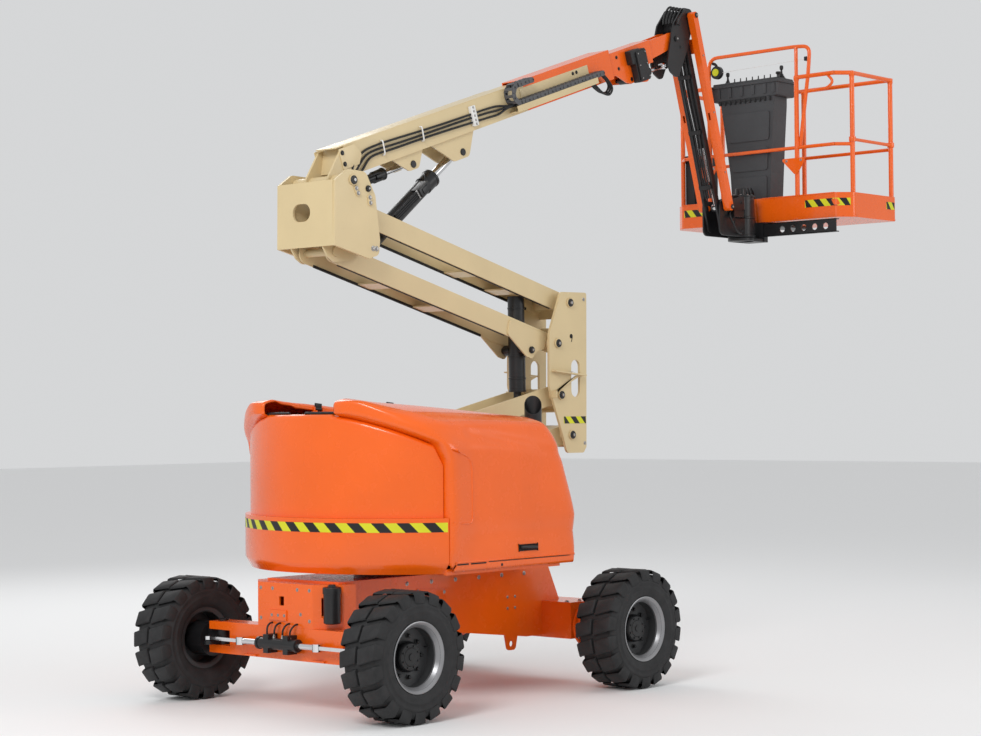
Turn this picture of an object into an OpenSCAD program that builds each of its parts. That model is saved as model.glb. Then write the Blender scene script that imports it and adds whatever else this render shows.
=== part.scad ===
// Articulating boom lift on four wheels: folding tower, telescoping boom, jib and work basket.
// Millimetres. X points from the counterweight to the basket, Z up, the wheels stand on Z = 0.
// Pins and outlines in the side view are [x, z] pairs measured from the slewing axis.

/* [Running gear] */
// Distance between the steering axle and the drive axle
wheelbase = 2286; // [2200:1:2400]
// Width over the tyres
overall_width = 2340; // [2300:1:2420]
// Outside diameter of a tyre over its lugs
tyre_od = 840; // [820:1:860]
// Width of a tyre
tyre_width = 318; // [300:1:330]
// Depth of the tread lugs
lug_depth = 26; // [15:1:32]
// Number of lugs in each of the two rows of a tyre
lug_count = 18; // [14:1:20]
// Radius of the bead seat of a rim
bead_r = 212; // [205:1:220]
// Distance of a kingpin from the middle of its wheel
kingpin_in = 311; // [300:1:320]
// Distance of the steering cylinder in front of the steering axle
steer_arm = 135; // [130:1:145]

/* [Chassis] */
// Height of the frame's top plate
frame_top = 850; // [840:1:856]
// Half width over the frame's side plates
frame_half = 345; // [335:1:360]
// Thickness of the frame plates
frame_plate = 15; // [10:1:20]
// Radius of the slewing ring
slew_r = 420; // [380:1:460]
// Height of the underside of the turntable
table_z = 895; // [890:1:905]
// Radius of the hole in a tie-down lug
lug_hole_r = 22; // [18:1:26]

/* [Turntable] */
// Swing radius of the tail
tail_r = 1170; // [1150:1:1180]
// Step from the tail band back to the upper tail cover
tail_step = 36; // [25:1:45]
// Top of the lower tail band
band_top = 1268; // [1255:1:1280]
// Top of the tail cover beside the boom slot
tail_top = 1950; // [1935:1:1960]
// Depth of the counterweight from the tail to the hoods
counter_depth = 510; // [490:1:530]
// Half width of the slot for the boom
slot_half = 305; // [298:1:312]
// Half width over the two hoods
hood_half = 1000; // [980:1:1010]
// Wall of the hoods
hood_wall = 12; // [8:1:16]
// Thickness of the turntable's base plate
base_t = 40; // [30:1:45]

/* [Tower] */
// Width of the tower beams
beam_w = 264; // [250:1:270]
// Depth of the tower beams
beam_d = 142; // [136:1:148]
// Wall of the tower beams
beam_t = 10; // [8:1:14]
// Length of the lower arms between pins
lower_len = 2190; // [2170:1:2210]
// Slope of the lower arms as shown
lower_deg = 12.6; // [12:0.1:13]
// Length of the upper arms between pins
upper_len = 2290; // [2280:1:2300]
// Slope of the upper arms as shown
upper_deg = 14.5; // [14:0.1:15]
// Radius of the tower pins
tower_pin_r = 26; // [22:1:30]
// Inner half width between the plates of the column
column_in = 190; // [180:1:200]
// Thickness of the column's plates
column_t = 20; // [16:1:24]
// Radius of the tower cylinder's barrel
tower_cyl_r = 62; // [55:1:68]

/* [Boom] */
// Elevation of the boom as shown
boom_deg = 18.8; // [18:0.1:19.5]
// Width of the boom
boom_w = 200; // [190:1:204]
// Depth of the boom
boom_d = 210; // [205:1:214]
// Wall of the boom
boom_t = 8; // [6:1:10]
// Distance from the boom's pin to the end of its front sleeve
boom_front_end = 3190; // [3170:1:3210]
// Distance from the boom's pin to the front sleeve
sleeve_start = 2110; // [2090:1:2130]
// Extra height of the front sleeve over the boom
sleeve_rise = 20; // [14:1:24]
// Width of the fly section
fly_w = 164; // [156:1:168]
// Radius of the main lift cylinder's barrel
lift_r = 58; // [50:1:62]
// Radius of the levelling cylinder's barrel
level_r = 34; // [32:1:36]

/* [Jib and platform] */
// Length of the jib between its pins
jib_len = 1592; // [1580:1:1604]
// Angle of the jib below level as shown
jib_deg = 72.9; // [72:0.1:74]
// Side of a jib bar
jib_bar = 60; // [54:1:64]
// Distance of the jib's second link below its first pin
jib_gap = 170; // [160:1:180]
// Distance of the rotator's axis from the basket
rotator_gap = 230; // [220:1:245]
// Length of the basket across the machine
basket_len = 1800; // [1760:1:1840]
// Depth of the basket
basket_depth = 755; // [740:1:770]
// Height of the basket's toe board
toe_h = 205; // [190:1:220]
// Height of the top rail above the basket's floor
rail_h = 1190; // [1160:1:1210]
// Radius of the rail tubes
rail_r = 18; // [15:1:20]

/* [Hidden] */
$fn = 48;
gap = 0.3;
pin_gap = 0.3;
side_gap = 2;
move_gap = 6;
pin_head_t = 10;
knee = 1;

orange = [0.92, 0.37, 0.11];
cream = [0.84, 0.76, 0.57];
black = [0.16, 0.16, 0.17];
dark_rubber = [0.22, 0.22, 0.22];
grey_plastic = [0.27, 0.27, 0.28];
steel = [0.72, 0.72, 0.72];

// Directions and pins in the side view
function dir(deg) = [cos(deg), sin(deg)];
function left_of(v) = [-v[1], v[0]];
function deg_of(v) = atan2(v[1], v[0]);

column_link_hi = [1476, 2770];
column_arm_hi = [1335, 2464];
column_link_lo = [1367, 2081];
column_arm_lo = [1489, 1783];
lower_dir = dir(lower_deg);
upper_dir = dir(-upper_deg);
table_arm = column_arm_lo - lower_len * lower_dir;
table_link = column_link_lo - lower_len * lower_dir;
upright_arm = column_arm_hi - upper_len * upper_dir;
upright_link = column_link_hi - upper_len * upper_dir;
tower_top_back = 201;
tower_top_drop = 105;
tower_foot_back = 345;
tower_foot_rise = 140;
tower_top_pin = column_arm_hi - tower_top_back * upper_dir - tower_top_drop * left_of(upper_dir);
tower_foot_pin = column_arm_lo - tower_foot_back * lower_dir + tower_foot_rise * left_of(lower_dir);
boom_offset = [-100.94, 166.63];
lift_base_offset = [241.06, -294.37];
level_base_offset = [41.06, 118.63];
boom_pin = upright_link + boom_offset;
lift_base_pin = upright_link + lift_base_offset;
level_base_pin = upright_link + level_base_offset;
boom_dir = dir(boom_deg);
function on_boom(s, h) = boom_pin + s * boom_dir + h * left_of(boom_dir);
lift_top_pin = on_boom(1326, -120);
level_top_pin = on_boom(800, -75);
tip_pin = on_boom(4088, 132);
slave_pin = on_boom(3965, -53);
slave_base_pin = on_boom(3425, -53);
jib_top_offset = [172, 204];
jib_top_pin = tip_pin + jib_top_offset;
jib_dir = dir(-jib_deg);
jib_low_pin = jib_top_pin + jib_len * jib_dir;
link_shift = -9;
link_offset = [link_shift, -jib_gap];
cyl_offset = [-6, -110];
rotator_reach = 350;
rotator_x = jib_low_pin[0] + rotator_reach;
basket_x0 = rotator_x + rotator_gap;
basket_x1 = basket_x0 + basket_depth;
basket_z0 = jib_low_pin[1] - 90;
floor_t = 8;
floor_z = basket_z0 + floor_t;
rail_z = floor_z + rail_h;
basket_half = basket_len / 2;

wheel_y = (overall_width - tyre_width) / 2;
wheel_z = tyre_od / 2;
kingpin_y = wheel_y - kingpin_in;
steer_x = -wheelbase / 2;
drive_x = wheelbase / 2;
mid_x = (basket_x1 + steer_x - tyre_od / 2) / 2;
column_out = column_in + column_t;
beam_half = beam_w / 2;

// Outline helpers
function unit(v) = v / norm(v);
function corner_arc(p, c, q, r, n) =
  r == 0 ? [c] :
  let (a = unit(p - c), b = unit(q - c), half = acos(a * b) / 2, m = c + unit(a + b) * (r / sin(half)),
       s = c + a * (r / tan(half)) - m, e = c + b * (r / tan(half)) - m,
       t0 = deg_of(s), turn = (deg_of(e) - t0 + 540) % 360 - 180)
  [for (i = [0:n]) m + r * dir(t0 + turn * i / n)];
function rounded(pts, r, n = 5) =
  let (k = len(pts))
  [for (i = [0:k - 1]) each
    corner_arc(pts[(i + k - 1) % k], pts[i], pts[(i + 1) % k], is_list(r) ? r[i] : r, n)];

module machine() {
  translate([-mid_x, 0, 0]) children();
}
module at(p, y = 0) {
  translate([p[0], y, p[1]]) children();
}
// A side outline as a plate from y over a thickness t
module plate(y, t) {
  translate([0, y + t, 0]) rotate([90, 0, 0]) linear_extrude(t) children();
}
// The same plate on both sides, t thick outward from half
module plates(half, t) {
  plate(half, t) children();
  plate(-half - t, t) children();
}
module both_sides() {
  children();
  mirror([0, 1, 0]) children();
}
// Round bar across the machine
module bar(p, r, half) {
  at(p) rotate([90, 0, 0]) cylinder(r = r, h = 2 * half, center = true);
}
// Hinge pin with heads outside the plates that end at half
module hinge_pin(p, r, half) {
  bar(p, r, half + side_gap + pin_head_t);
  both_sides() at(p, half + side_gap + pin_head_t / 2)
    rotate([90, 0, 0]) cylinder(r = r + 9, h = pin_head_t, center = true);
}
// Local frame from pin p towards pin q
module along(p, q) {
  at(p) rotate([0, -deg_of(q - p), 0]) children();
}
// Straight round bar from one point to another
module rod(a, b, r) {
  v = b - a;
  translate(a) rotate([0, acos(v[2] / norm(v)), atan2(v[1], v[0])]) cylinder(r = r, h = norm(v));
}
// Tube rail along points with round knees
module rail(pts, r) {
  for (i = [0:len(pts) - 2]) rod(pts[i], pts[i + 1], r);
  for (p = pts) translate(p) sphere(r = r + knee);
}
// Beam between two pins, open below, with eyes at its ends
module channel(len, slots) {
  difference() {
    union() {
      translate([0, -beam_half, -beam_d / 2]) cube([len, beam_w, beam_d]);
      for (x = [0, len]) translate([x, 0, 0]) rotate([90, 0, 0]) cylinder(d = beam_d, h = beam_w, center = true);
    }
    translate([-beam_d, -beam_half + beam_t, -beam_d])
      cube([len + 2 * beam_d, beam_w - 2 * beam_t, beam_d * 1.5 - beam_t]);
    for (s = slots) translate([s[0], -s[2] / 2, 0]) cube([s[1] - s[0], s[2], beam_d]);
  }
}
module cross_ties(xs, length) {
  for (x = xs) translate([x, -beam_half + 1, -beam_d / 2 + 2]) cube([length, beam_w - 2, beam_t]);
}

// Running gear
tread_r = tyre_od / 2;
carcass_r = tread_r - lug_depth;
module tyre(x, side) {
  half = tyre_width / 2;
  profile = [
    [bead_r, -half + 40], [bead_r + 26, -half + 12], [bead_r + 90, -half], [carcass_r - 60, -half],
    [carcass_r - 14, -half + 22], [carcass_r, -half + 60], [carcass_r, half - 60], [carcass_r - 14, half - 22],
    [carcass_r - 60, half], [bead_r + 90, half], [bead_r + 26, half - 12], [bead_r, half - 40]];
  color(dark_rubber) translate([x, side * wheel_y, wheel_z]) rotate([90, 0, 0]) {
    rotate_extrude($fn = 72) polygon(profile);
    intersection() {
      cylinder(r = tread_r, h = tyre_width, center = true, $fn = 72);
      for (i = [0:lug_count - 1], row = [0, 1])
        rotate([0, 0, 360 / lug_count * (i + row / 2)]) mirror([0, 0, row]) tread_lug();
    }
  }
}
module tread_lug() {
  half = tyre_width / 2;
  width = 94;
  skew = 46;
  root = 52;
  rotate([90, 0, 90]) translate([0, 0, carcass_r - root]) linear_extrude(root + lug_depth + 20)
    polygon([[-width / 2 - skew, 8], [width / 2 - skew, 8], [width / 2, half - 2], [-width / 2, half - 2]]);
}
module rim(x, side) {
  half = tyre_width / 2;
  disc = 10;
  color(black) translate([x, side * wheel_y, wheel_z]) rotate([-90 * side, 0, 0]) {
    rotate_extrude($fn = 72) polygon([
      [bead_r - gap, -half + 42], [bead_r - gap, half - 39], [bead_r + 14, half - 24], [bead_r + 12, half - 14],
      [bead_r - 8, half - 26], [bead_r - 20, half - 60], [bead_r - 22, disc + 18], [92, disc + 4],
      [92, disc + 46], [82, disc + 58], [0, disc + 58], [0, disc - 8], [hub_r + pin_gap, disc - 8],
      [hub_r + pin_gap, disc - 44], [96, disc - 44], [96, disc - 10], [bead_r - 34, disc + 2],
      [bead_r - 34, -half + 50], [bead_r - 20, -half + 42]]);
  }
}
hub_r = 58;
hub_end = wheel_y + 10 - 8 - gap;

frame_x0 = steer_x + 83;
frame_x1 = drive_x - 103;
module frame_outline() {
  polygon([[frame_x0, 552], [frame_x0, frame_top], [frame_x1, frame_top], [drive_x + 22, 590 + gap],
           [axle_x0 - gap, 590 + gap], [axle_x0 - gap, 345], [drive_x - 343, 345], [0, 440], [frame_x0 + 360, 520]]);
}
module nose_plan() {
  polygon([[nose_x, -264], [nose_x, 264], [steer_x + 63, 420], [steer_x + 170, 420], [steer_x + 170, -420],
           [steer_x + 63, -420]]);
}
axle_x0 = drive_x - 172;
axle_x1 = drive_x + 172;
nose_x = steer_x - 75;
axle_top = 550;
module chassis_frame() color(orange) machine() {
  plates(frame_half - frame_plate, frame_plate) frame_outline();
  translate([frame_x0, -frame_half, frame_top - frame_plate]) cube([frame_x1 - frame_x0, 2 * frame_half, frame_plate]);
  translate([frame_x0, -frame_half, 552]) cube([420, 2 * frame_half, frame_plate]);
  translate([frame_x0 + 420, -frame_half, 560]) cube([frame_plate, 2 * frame_half, 280]);
  difference() {
    translate([0, 0, axle_top + gap]) linear_extrude(frame_top - 20 - axle_top - gap) difference() {
      nose_plan();
      polygon([[nose_x + 14, -256], [nose_x + 14, 256], [steer_x + 70, 405], [steer_x + 200, 405],
               [steer_x + 200, -405], [steer_x + 70, -405]]);
    }
    translate([nose_x - 5, 10, 690]) cube([30, 46, 60]);
    both_sides() translate([steer_x - 6, 342, 690]) rotate([0, 90, 48]) rounded_slot(130, 36, 90);
  }
  translate([0, 0, frame_top - 34]) linear_extrude(22) nose_plan();
  for (p = tie_points) plates(frame_half - frame_plate, frame_plate) difference() {
    polygon(rounded([p + [-70, 80], p + [70, 80], p + [42, -45], p + [-42, -45]], [0, 0, 30, 30]));
    translate(p) circle(r = lug_hole_r);
  }
}
// Holes for tie-down shackles in tabs below the side plates
tie_points = [[steer_x + 583, 452], [drive_x - 503, 306]];
// Slot with round ends, its length along X, cut through a depth d about its middle
module rounded_slot(length, width, d) {
  translate([0, 0, -d / 2]) linear_extrude(d) {
    square([length - width, width], center = true);
    for (s = [-1, 1]) translate([s * (length - width) / 2, 0]) circle(d = width);
  }
}
module steer_axle() color(orange) machine() translate([steer_x, 0, 0]) {
  difference() {
    translate([-78, -kingpin_y + 70, 336]) cube([156, 2 * kingpin_y - 140, axle_top - 336]);
    both_sides() translate([-100, kingpin_y - 150, 390]) cube([200, 200, 104]);
    both_sides() translate([-100, 250, 300]) rotate([-14, 0, 0]) cube([200, 400, 36]);
  }
  both_sides() difference() {
    for (z = [336, 494 + 0.5]) translate([-78, kingpin_y - 72, z]) cube([156, 132, 54]);
    translate([0, kingpin_y, 300]) cylinder(r = kingpin_r + pin_gap, h = 300);
  }
}
kingpin_r = 24;
module drive_axle() color(orange) machine() translate([drive_x, 0, 0]) {
  translate([-172, -620, 330]) cube([344, 1240, 260]);
  both_sides() translate([0, 620, wheel_z]) rotate([-90, 0, 0]) {
    cylinder(r = 130, h = wheel_y - 44 - move_gap - 620);
    cylinder(r = hub_r, h = hub_end - 620);
  }
}
steer_cyl_x = steer_x - steer_arm;
steer_cyl_z = 442;
module steer_cylinder() color(black) machine() {
  difference() {
    union() {
      translate([steer_cyl_x, 0, steer_cyl_z]) rotate([90, 0, 0]) cylinder(r = 38, h = 380, center = true);
      for (y = [-95, 95]) translate([steer_cyl_x - 30, y - 24, steer_cyl_z - 62])
        cube([steer_arm + 30 - 78, 48, 124]);
    }
    translate([steer_cyl_x, 0, steer_cyl_z]) rotate([90, 0, 0]) cylinder(r = 20 + pin_gap, h = 500, center = true);
  }
}
module steer_rods() color(steel) machine() translate([steer_cyl_x, 0, steer_cyl_z]) {
  rotate([90, 0, 0]) cylinder(r = 20, h = 760, center = true);
  both_sides() {
    translate([0, 372, 0]) cylinder(r = 34, h = 50, center = true);
    translate([-16, 380, -12]) cube([32, kingpin_y - 380, 24]);
    translate([0, kingpin_y, -12]) cylinder(r = 30, h = 24);
  }
}
module knuckle(side) color(black) machine() translate([steer_x, 0, 0]) {
  translate([0, side * kingpin_y, 336 - 6]) cylinder(r = kingpin_r, h = 226);
  for (z = [336 - 14, 549]) translate([0, side * kingpin_y, z]) cylinder(r = kingpin_r + 12, h = 12);
  translate([0, side * kingpin_y, 394]) cylinder(r = 56, h = 96);
  translate([-48, side * kingpin_y + (side > 0 ? 0 : -110), 394]) cube([96, 110, 96]);
  translate([0, side * kingpin_y, wheel_z]) rotate([-90 * side, 0, 0]) {
    translate([0, 0, 104]) cylinder(r = 120, h = wheel_y - 44 - move_gap - kingpin_y - 104);
    translate([0, 0, 104]) cylinder(r = hub_r, h = hub_end - kingpin_y - 104);
  }
  translate([-steer_arm, side * kingpin_y - 30, 396]) cube([steer_arm, 60, steer_cyl_z - 12 - move_gap - 396]);
  translate([-steer_arm, side * kingpin_y, 396]) cylinder(r = 30, h = steer_cyl_z - 12 - move_gap - 396);
}
module knuckle_near() knuckle(-1);
module knuckle_far() knuckle(1);
module slew_ring() color(black) machine() translate([0, 0, frame_top]) difference() {
  cylinder(r = slew_r, h = table_z - frame_top - gap, $fn = 96);
  translate([0, 0, -1]) cylinder(r = slew_r - 110, h = 100, $fn = 96);
}
canister_at = [steer_x - 33, -405, 0];
canister_deg = -48.5;
module filter_canister() color(black) machine() translate(canister_at) rotate([0, 0, canister_deg]) {
  translate([0, 0, 596]) cylinder(r = 56, h = 190);
  translate([0, 0, 590]) cylinder(r1 = 44, r2 = 56, h = 6);
  translate([0, 0, 786]) cylinder(r = 61, h = 36);
  translate([-34, 0, 800]) cube([68, 61.5, 30]);
}
module tyre_steer_near() machine() tyre(steer_x, -1);
module tyre_steer_far() machine() tyre(steer_x, 1);
module tyre_drive_near() machine() tyre(drive_x, -1);
module tyre_drive_far() machine() tyre(drive_x, 1);
module rim_steer_near() machine() rim(steer_x, -1);
module rim_steer_far() machine() rim(steer_x, 1);
module rim_drive_near() machine() rim(drive_x, -1);
module rim_drive_far() machine() rim(drive_x, 1);

// Turntable
split_x = counter_depth - tail_r;
base_top = table_z + base_t;
tower_in = beam_half + 14;
tower_plate = 26;
module turntable_frame() color(orange) machine() {
  translate([0, 0, table_z]) linear_extrude(base_t) difference() {
    polygon(rounded([[split_x + gap, -940], [480, -940], [560, -860], [560, 860], [480, 940], [split_x + gap, 940]],
                    [0, 40, 40, 40, 40, 0]));
    circle(r = 150);
  }
  translate([520, stack_pos[1] - 70, table_z]) cube([stack_pos[0] + 65 - 520, 140, stack_foot]);
  difference() {
    plates(tower_in, tower_plate)
      polygon(rounded([[split_x + gap, base_top - 1], [split_x - 110, band_top + gap], [-870, band_top + gap],
                       [-840, 1640], [-800, 1666], [-700, 1666], [-540, 1330], [-440, base_top - 1]],
                      [0, 0, 0, 30, 30, 40, 60, 0]));
    for (p = [table_arm, table_link]) bar(p, tower_pin_r + pin_gap, slot_half);
  }
  plates(slot_half, 15) polygon([[split_x + 5, base_top - 1], [split_x + 5, 1968], [300, 1868],
                                 [440, 1790], [540, 1500], [540, base_top - 1]]);
  both_sides() hinge_lugs();
}
module tail_plan(r, x) {
  intersection() {
    circle(r = r, $fn = 180);
    translate([-2000, -hood_half]) square([2000 + x, 2 * hood_half]);
  }
}
module counterweight() color(orange) machine() {
  difference() {
    translate([0, 0, table_z + 8]) linear_extrude(band_top - table_z - 8) tail_plan(tail_r, split_x);
    translate([0, 0, table_z]) rotate_extrude($fn = 180)
      polygon([[tail_r - 46, 0], [tail_r + 40, 0], [tail_r + 40, 150]]);
    plate(-tower_in - tower_plate - gap, 2 * (tower_in + tower_plate + gap))
      polygon([[split_x + 1, base_top - 6], [split_x - 114, band_top + 1], [split_x + 1, band_top + 1]]);
  }
}
tail_slope = 14;
module tail_cover() color(orange) machine() difference() {
  translate([0, 0, band_top + gap]) linear_extrude(tail_top - band_top) difference() {
    tail_plan(tail_r - tail_step, split_x - 2);
    tail_plan(tail_r - tail_step - 40, split_x + 100);
  }
  both_sides() translate([-2000, 330, tail_top]) rotate([-tail_slope, 0, 0]) cube([3000, 1500, 600]);
  plates(hood_in - 12, 900) polygon([[split_x - 2, 1200], [split_x - 2, 1632], [split_x - 48, 1744],
                                     [137 - tail_r, 1916], [62 - tail_r, 1949], [62 - tail_r, 2300], [0, 2300], [0, 1200]]);
}
engine_x = 650 - tail_r;
engine_y = 310 - tail_r;
module engine_block() color(black) machine() {
  translate([engine_x, engine_y, base_top]) cube([240 - engine_x, -390 - engine_y, 560]);
  translate([engine_x + 120, engine_y + 60, base_top + 560]) cube([420, -530 - engine_y, 110]);
}
tank_x = 610 - tail_r;
tank_y = tail_r - 290;
module tank_block() color(black) machine() {
  translate([tank_x, 400, base_top]) cube([-40 - tank_x, tank_y - 400, 560]);
  translate([20, 400, base_top]) cube([480, tank_y - 400, 500]);
}
stack_pos = [735, -484];
stack_h = 1082;
stack_foot = 13;
stack_r = 50;
module exhaust_stack() color(black) machine() translate([stack_pos[0], stack_pos[1], table_z + stack_foot]) difference() {
  translate([0, 0, gap]) cylinder(r = stack_r, h = stack_h + 35);
  translate([0, 0, 20]) cylinder(r = stack_r - 5, h = 1200);
  translate([0, 0, stack_h]) rotate([38, 0, -40]) translate([-200, -200, 0]) cube([400, 400, 400]);
}
hood_in = slot_half + 15 + 14;
hinge_x = -300;
hinge_z = 1959;
hinge_y = 350;
hinge_deg = 5.8;
hinge_pin_r = 8;
hinge_at = [-280, 420];
module on_hinge() {
  translate([hinge_x, -hinge_y, hinge_z]) rotate([0, hinge_deg, 0]) for (x = hinge_at) translate([x, 0, 0]) children();
}
// Pin with its two lugs on the slot's wall
module hinge_lugs() {
  on_hinge() {
    translate([-54, 0, 0]) rotate([0, 90, 0]) cylinder(r = hinge_pin_r, h = 108);
    for (x = [-50, 36]) {
      translate([x, -12, -80]) cube([14, 26, 92]);
      translate([x, 10, -80]) cube([14, 28, 66]);
    }
  }
}
// Tube on the hood's underside that turns on the pin
module hinge_tubes() {
  on_hinge() difference() {
    union() {
      translate([-30, 0, 0]) rotate([0, 90, 0]) cylinder(r = 14, h = 60);
      translate([-30, -6, 0]) cube([60, 12, 33]);
    }
    translate([-40, 0, 0]) rotate([0, 90, 0]) cylinder(r = hinge_pin_r + pin_gap, h = 80);
  }
}
hood_low = 915;
module hood_side(shrink) {
  polygon(rounded([
    [75 - tail_r + shrink, 1955], [75 - tail_r + shrink, 2030 - shrink], [170 - tail_r, 2062 - shrink],
    [290 - tail_r, 2058 - shrink], [395, 1928 - shrink], [462 - shrink, 1800], [660 - shrink, 1245],
    [590 - shrink, hood_low - shrink], [split_x + move_gap + shrink, hood_low - shrink],
    [split_x + move_gap + shrink, 1640], [split_x - 40 + shrink, 1752], [145 - tail_r + shrink, 1924]],
    [10, 30, 40, 40, 60, 60, 40, 10, 0, 60, 40, 20]));
}
module hood_section(shrink) {
  polygon(rounded([
    [hood_in - shrink, 850], [hood_in - shrink, 2075 - shrink], [hood_in + 190, 2040 - shrink],
    [hood_half - 240 - shrink, 1960 - shrink], [hood_half - 95 - shrink, 1885 - shrink], [hood_half - 15 - shrink, 1720],
    [hood_half - shrink, 1240], [hood_half - 30 - shrink, 850]], [0, 0, 120, 120, 90, 80, 60, 0]));
}
module hood_plan(shrink) {
  intersection() {
    circle(r = tail_r + 6 - shrink, $fn = 180);
    translate([-1200, -hood_half]) square([1860, hood_half]);
  }
}
module hood_form(shrink) {
  intersection() {
    plate(-1100, 1000) hood_side(shrink);
    translate([-1300, 0, 0]) rotate([90, 0, 90]) linear_extrude(2200) mirror([1, 0]) hood_section(shrink);
    translate([0, 0, 900]) linear_extrude(1300) hood_plan(shrink);
  }
}
module hood() {
  difference() {
    hood_form(0);
    difference() {
      hood_form(hood_wall);
      translate([-1300, -1300, 900]) cube([split_x - 10 + 1300, 1300, 1400]);
    }
    translate([split_x, -hood_half, hood_low - 20]) cube([30, hood_half, base_top + 10 - hood_low + 20]);
  }
  hinge_tubes();
}
module hood_near() color(orange) machine() hood();
module hood_far() color(orange) machine() mirror([0, 1, 0]) hood();

// Tower
module lower_arm() color(cream) machine() {
  along(table_arm, column_arm_lo) {
    channel(lower_len, []);
    cross_ties([420, 1500], 160);
    plates(foot_in, 16)
      polygon(rounded([[lower_len - 470, beam_d / 2 - 2], [lower_len - 390, foot_top], [lower_len - 300, foot_top],
                       [lower_len - 220, beam_d / 2 - 2]], [0, 40, 40, 0]));
  }
  hinge_pin(table_arm, tower_pin_r, tower_in + tower_plate);
  hinge_pin(column_arm_lo, tower_pin_r, column_out);
  bar(column_arm_lo, boss_r, column_in - side_gap);
}
foot_in = 62;
foot_top = 178;
boss_r = 45;
module lower_link() color(cream) machine() {
  along(table_link, column_link_lo) difference() {
    mirror([0, 0, 1]) channel(lower_len, []);
    translate([lower_len - 620, -beam_half + beam_t, -beam_d]) cube([520, beam_w - 2 * beam_t, beam_d * 1.2]);
  }
  hinge_pin(table_link, tower_pin_r, tower_in + tower_plate);
  hinge_pin(column_link_lo, tower_pin_r, column_out);
  bar(column_link_lo, boss_r, column_in - side_gap);
}
module column() color(cream) machine() {
  difference() {
    plates(column_in, column_t) difference() {
      polygon(rounded([[1378, 2848], [1675, 2852], [1660, 1690], [1628, 1648], [1437, 1648], [1390, 1780],
                       [1237, 2144], [1243, 2538]], [30, 20, 20, 30, 40, 60, 120, 160]));
      translate([1540, 2205]) square([100, 180], center = true);
      for (z = [2115, 2295]) translate([1540, z]) circle(r = 50);
    }
    for (p = [column_link_hi, column_arm_hi, column_link_lo, column_arm_lo])
      bar(p, tower_pin_r + pin_gap, column_out + 5);
  }
  for (p = [[1625, 2560], [1610, 1985]]) bar(p, 34, column_in + 1);
  translate([1590, -column_in - 1, 2660]) cube([14, 2 * column_in + 2, 150]);
  translate([1590, -column_in - 1, 1690]) cube([14, 2 * column_in + 2, 120]);
}
gusset_t = 12;
nest_w = 200;
module upper_arm() color(cream) machine() {
  along(upright_arm, column_arm_hi) {
    channel(upper_len, [[upper_len - 760, upper_len - 90, 2 * tower_cyl_r + 24], [40, 850, nest_w]]);
    cross_ties([500, 1060], 120);
    difference() {
      plates(beam_half - 0.5, gusset_t)
        polygon(rounded([[upper_len - 480, 50], [upper_len - 60, 50], [upper_len - 60, -60], [upper_len - 130, -90],
                         [upper_len - 175, -165], [upper_len - 240, -165], [upper_len - 480, -60]],
                        [20, 20, 20, 20, 30, 30, 20]));
      translate([upper_len - tower_top_back, 0, -tower_top_drop]) rotate([90, 0, 0])
        cylinder(r = tower_pin_r + pin_gap, h = 2 * column_in, center = true);
    }
  }
  hinge_pin(upright_arm, tower_pin_r, upright_web + upright_web_t);
  hinge_pin(column_arm_hi, tower_pin_r, column_out);
  bar(column_arm_hi, boss_r, column_in - side_gap);
}
module upper_link() color(cream) machine() {
  along(upright_link, column_link_hi) {
    channel(upper_len, [[-beam_d, 1450, nest_w]]);
    cross_ties([1250, 1700], 120);
  }
  hinge_pin(upright_link, tower_pin_r, upright_web + upright_web_t);
  hinge_pin(column_link_hi, tower_pin_r, column_out);
  bar(column_link_hi, boss_r, column_in - side_gap);
}
upright_half = 262;
upright_t = 20;
upright_web = beam_half + 14;
upright_web_t = 14;
lug_tube = (upright_arm + upright_link) / 2;
lift_lug_in = 74;
lift_pin_r = 24;
level_pin_r = 22;
function on_upright(pts) = [for (p = pts) upright_link + p];
module upright() color(cream) machine() {
  difference() {
    union() {
      plates(upright_half, upright_t)
        polygon(rounded(on_upright([[-269, -277], [-263, 157], [-149, 237], [21, 232], [111, 77], [153, -223],
                                    [141, -323], [51, -351]]), [5, 5, 50, 60, 60, 60, 40, 20]));
      plates(upright_web, upright_web_t)
        polygon(rounded(on_upright([[-259, -283], [-259, 67], [41, 67], [101, -63], [51, -353], [-59, -368],
                                    [-159, -378], [-219, -343]]), [0, 0, 40, 40, 40, 20, 60, 20]));
      at(upright_link) translate([-269, -upright_half - 1, -277]) cube([16, 2 * upright_half + 2, 436]);
      at(upright_link) both_sides() translate([-259, upright_web, -258]) cube([240, upright_half - upright_web + 1, 14]);
      at(upright_link) both_sides() translate([51, upright_web, -173]) cube([16, upright_half - upright_web + 1, 170]);
      bar(lug_tube, 40, upright_web + 1);
      plates(lift_lug_in, 14) polygon(rounded([lug_tube + [-34, 0], lug_tube + [0, 50], lift_base_pin + [20, 46],
                                               lift_base_pin + [46, -10], lift_base_pin + [-20, -48],
                                               lug_tube + [0, -42]], [20, 20, 36, 30, 30, 20]));
    }
    for (p = [upright_arm, upright_link]) bar(p, tower_pin_r + pin_gap, upright_half - 5);
    bar(boom_pin, tower_pin_r + pin_gap, upright_half + 50);
    bar(level_base_pin, level_pin_r + pin_gap, upright_half + 50);
    bar(lift_base_pin, lift_pin_r + pin_gap, lift_lug_in + 50);
    at(upright_link) translate([-261, 40, -43]) rotate([0, 90, 0]) rotate([0, 0, 90]) rounded_slot(170, 120, 60);
  }
}

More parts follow.
